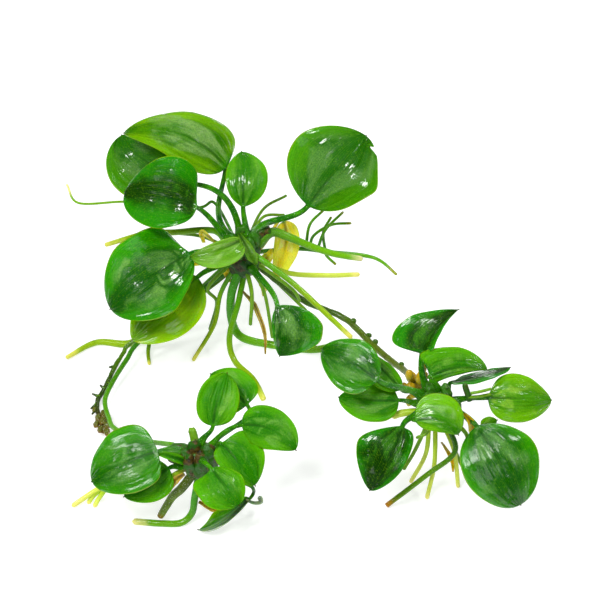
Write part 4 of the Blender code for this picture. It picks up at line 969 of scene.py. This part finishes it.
right_runner = root_skin(MOTHER, (-12, -35), [
    (19, -2, 33), (31, -8, 27), (47, -14, 23.5), (54, -20, 22.8), (63, -34, 22.8), (72, -50, 26.5),
    (78, -64, 33), (80, -77, 39.5)], (1.4, 1.6, 1.6, 1.5), knobs=0.10, end=(RIGHT, (120, 8)))
make_piece("right_runner_stem", [right_runner, *knob_skins(MOTHER, 0.12, [
    ((54.6, -19.4, 24.4), (1.5, 1.5, 1.5)), ((62, -29.4, 23.9), (1.4, 1.4, 1.4)),
    ((65, -34.6, 24.2), (1.5, 1.5, 1.5)), ((76.5, -57.5, 31.2), (1.4, 1.4, 1.4)),
])], RUNNER_BARK, "runner", "right_runner")
make_piece("right_runner_buds", knob_skins(RIGHT, 0.06, [
    ((-10, 19, 42.6), (2.2, 2.4, 3.2)), ((-11, 14, 41), (2.6, 2.4, 3.0)),
    ((-6.5, 15.5, 45.5), (2.2, 2.2, 4.2)), ((-5.9, 15, 52.6), (2.0, 2.0, 3.0)),
    ((-4.8, 14.6, 48.0), (2.0, 2.0, 2.6)), ((-11.6, 15.4, 48.0), (1.9, 1.9, 3.0)),
    ((-13.8, 15, 40.6), (1.9, 1.9, 2.4)), ((-9.4, 14.4, 36.2), (1.8, 1.8, 2.2)),
    ((-11.0, 14.9, 31.8), (1.7, 1.7, 3.4)),
]), BUD_BARK, "runner")

GREEN_RUNNER = root_finish("runner_green", (54, 124, 2), (84, 152, 4), (86, 150, 10), (36, 104, 0), 0.45)
make_piece("left_runner_stem", [root_skin(MOTHER, (178, -52), [
    (-32, -7, 24), (-53.3, -22.2, 12), (-58.3, -30.7, 9), (-63.1, -41.4, 7.5), (-66.6, -52.8, 7),
    (-66.9, -60.1, 7.2), (-64.1, -70.8, 9), (-59.8, -82.3, 13), (-46, -98, 22),
], (1.2, 1.2), end=(LEFT, (150, 15)))], GREEN_RUNNER, "root", "left_runner")
STALK_BARK = root_finish("stalk_bark", (84, 130, 10), (44, 66, 12), (60, 60, 20), (24, 36, 4), 0.6)
bud_stalk = root_skin(MOTHER, (135, -62), [
    (-37, -10, 18), (-57.4, -18, 8), (-61.2, -22.9, 5.2), (-64.8, -30.4, 3.4), (-67.1, -39.3, 3),
    (-69.3, -47.7, 3), (-71.2, -53.4, 3.2), (-71, -60, 3.5), (-69, -66, 4)], (0.9, 1.2, 1.2), knobs=0.16)
bracts = [branch_skin(MOTHER, ends, (1.0, 0.45), knobs=0.15) for ends in [
    ((-64.8, -30.4, 3.4), (-67.6, -31.2, 3.8)), ((-70.6, -51.6, 3.4), (-74.2, -50.6, 4.4)),
    ((-71.2, -56.0, 3.4), (-74.0, -60.6, 4.2)), ((-71.0, -59.0, 3.6), (-73.2, -63.6, 3.4)),
    ((-67.6, -42.0, 3.2), (-65.2, -42.6, 2.6)), ((-68.6, -46.0, 3.2), (-70.8, -44.6, 4.4))]]
make_piece("bud_stalk_stem", [bud_stalk, *bracts], STALK_BARK, "runner", "bud_stalk")
OLD_BUD_BARK = root_finish("old_bud_bark", (96, 100, 36), (136, 92, 36), (150, 104, 50), (40, 34, 6),
                           0.8, 0.7)
make_piece("bud_stalk_buds", knob_skins(MOTHER, 0.16, [
    ((-67.4, -64.6, 4.6), (1.7, 2.4, 1.7)), ((-69.8, -66.6, 4.0), (1.6, 2.3, 1.8)),
    ((-70.4, -70.4, 3.6), (1.4, 2.2, 1.5)), ((-67.0, -69.6, 5.0), (1.8, 2.4, 1.8)),
    ((-68.2, -73.6, 3.4), (1.4, 2.5, 1.5)), ((-65.2, -72.0, 4.6), (1.7, 2.4, 1.7)),
    ((-65.2, -67.6, 4.2), (1.5, 2.2, 1.5)), ((-65.0, -75.4, 3.4), (1.5, 2.2, 1.5)),
    ((-67.4, -68.0, 2.8), (2.2, 3.4, 2.0)), ((-66.6, -72.4, 2.6), (2.0, 2.8, 1.8)),
    ((-72.4, -60.6, 3.4), (1.2, 1.8, 1.2)), ((-63.9, -70.4, 3.4), (1.3, 2.0, 1.3)),
]), OLD_BUD_BARK, "runner")
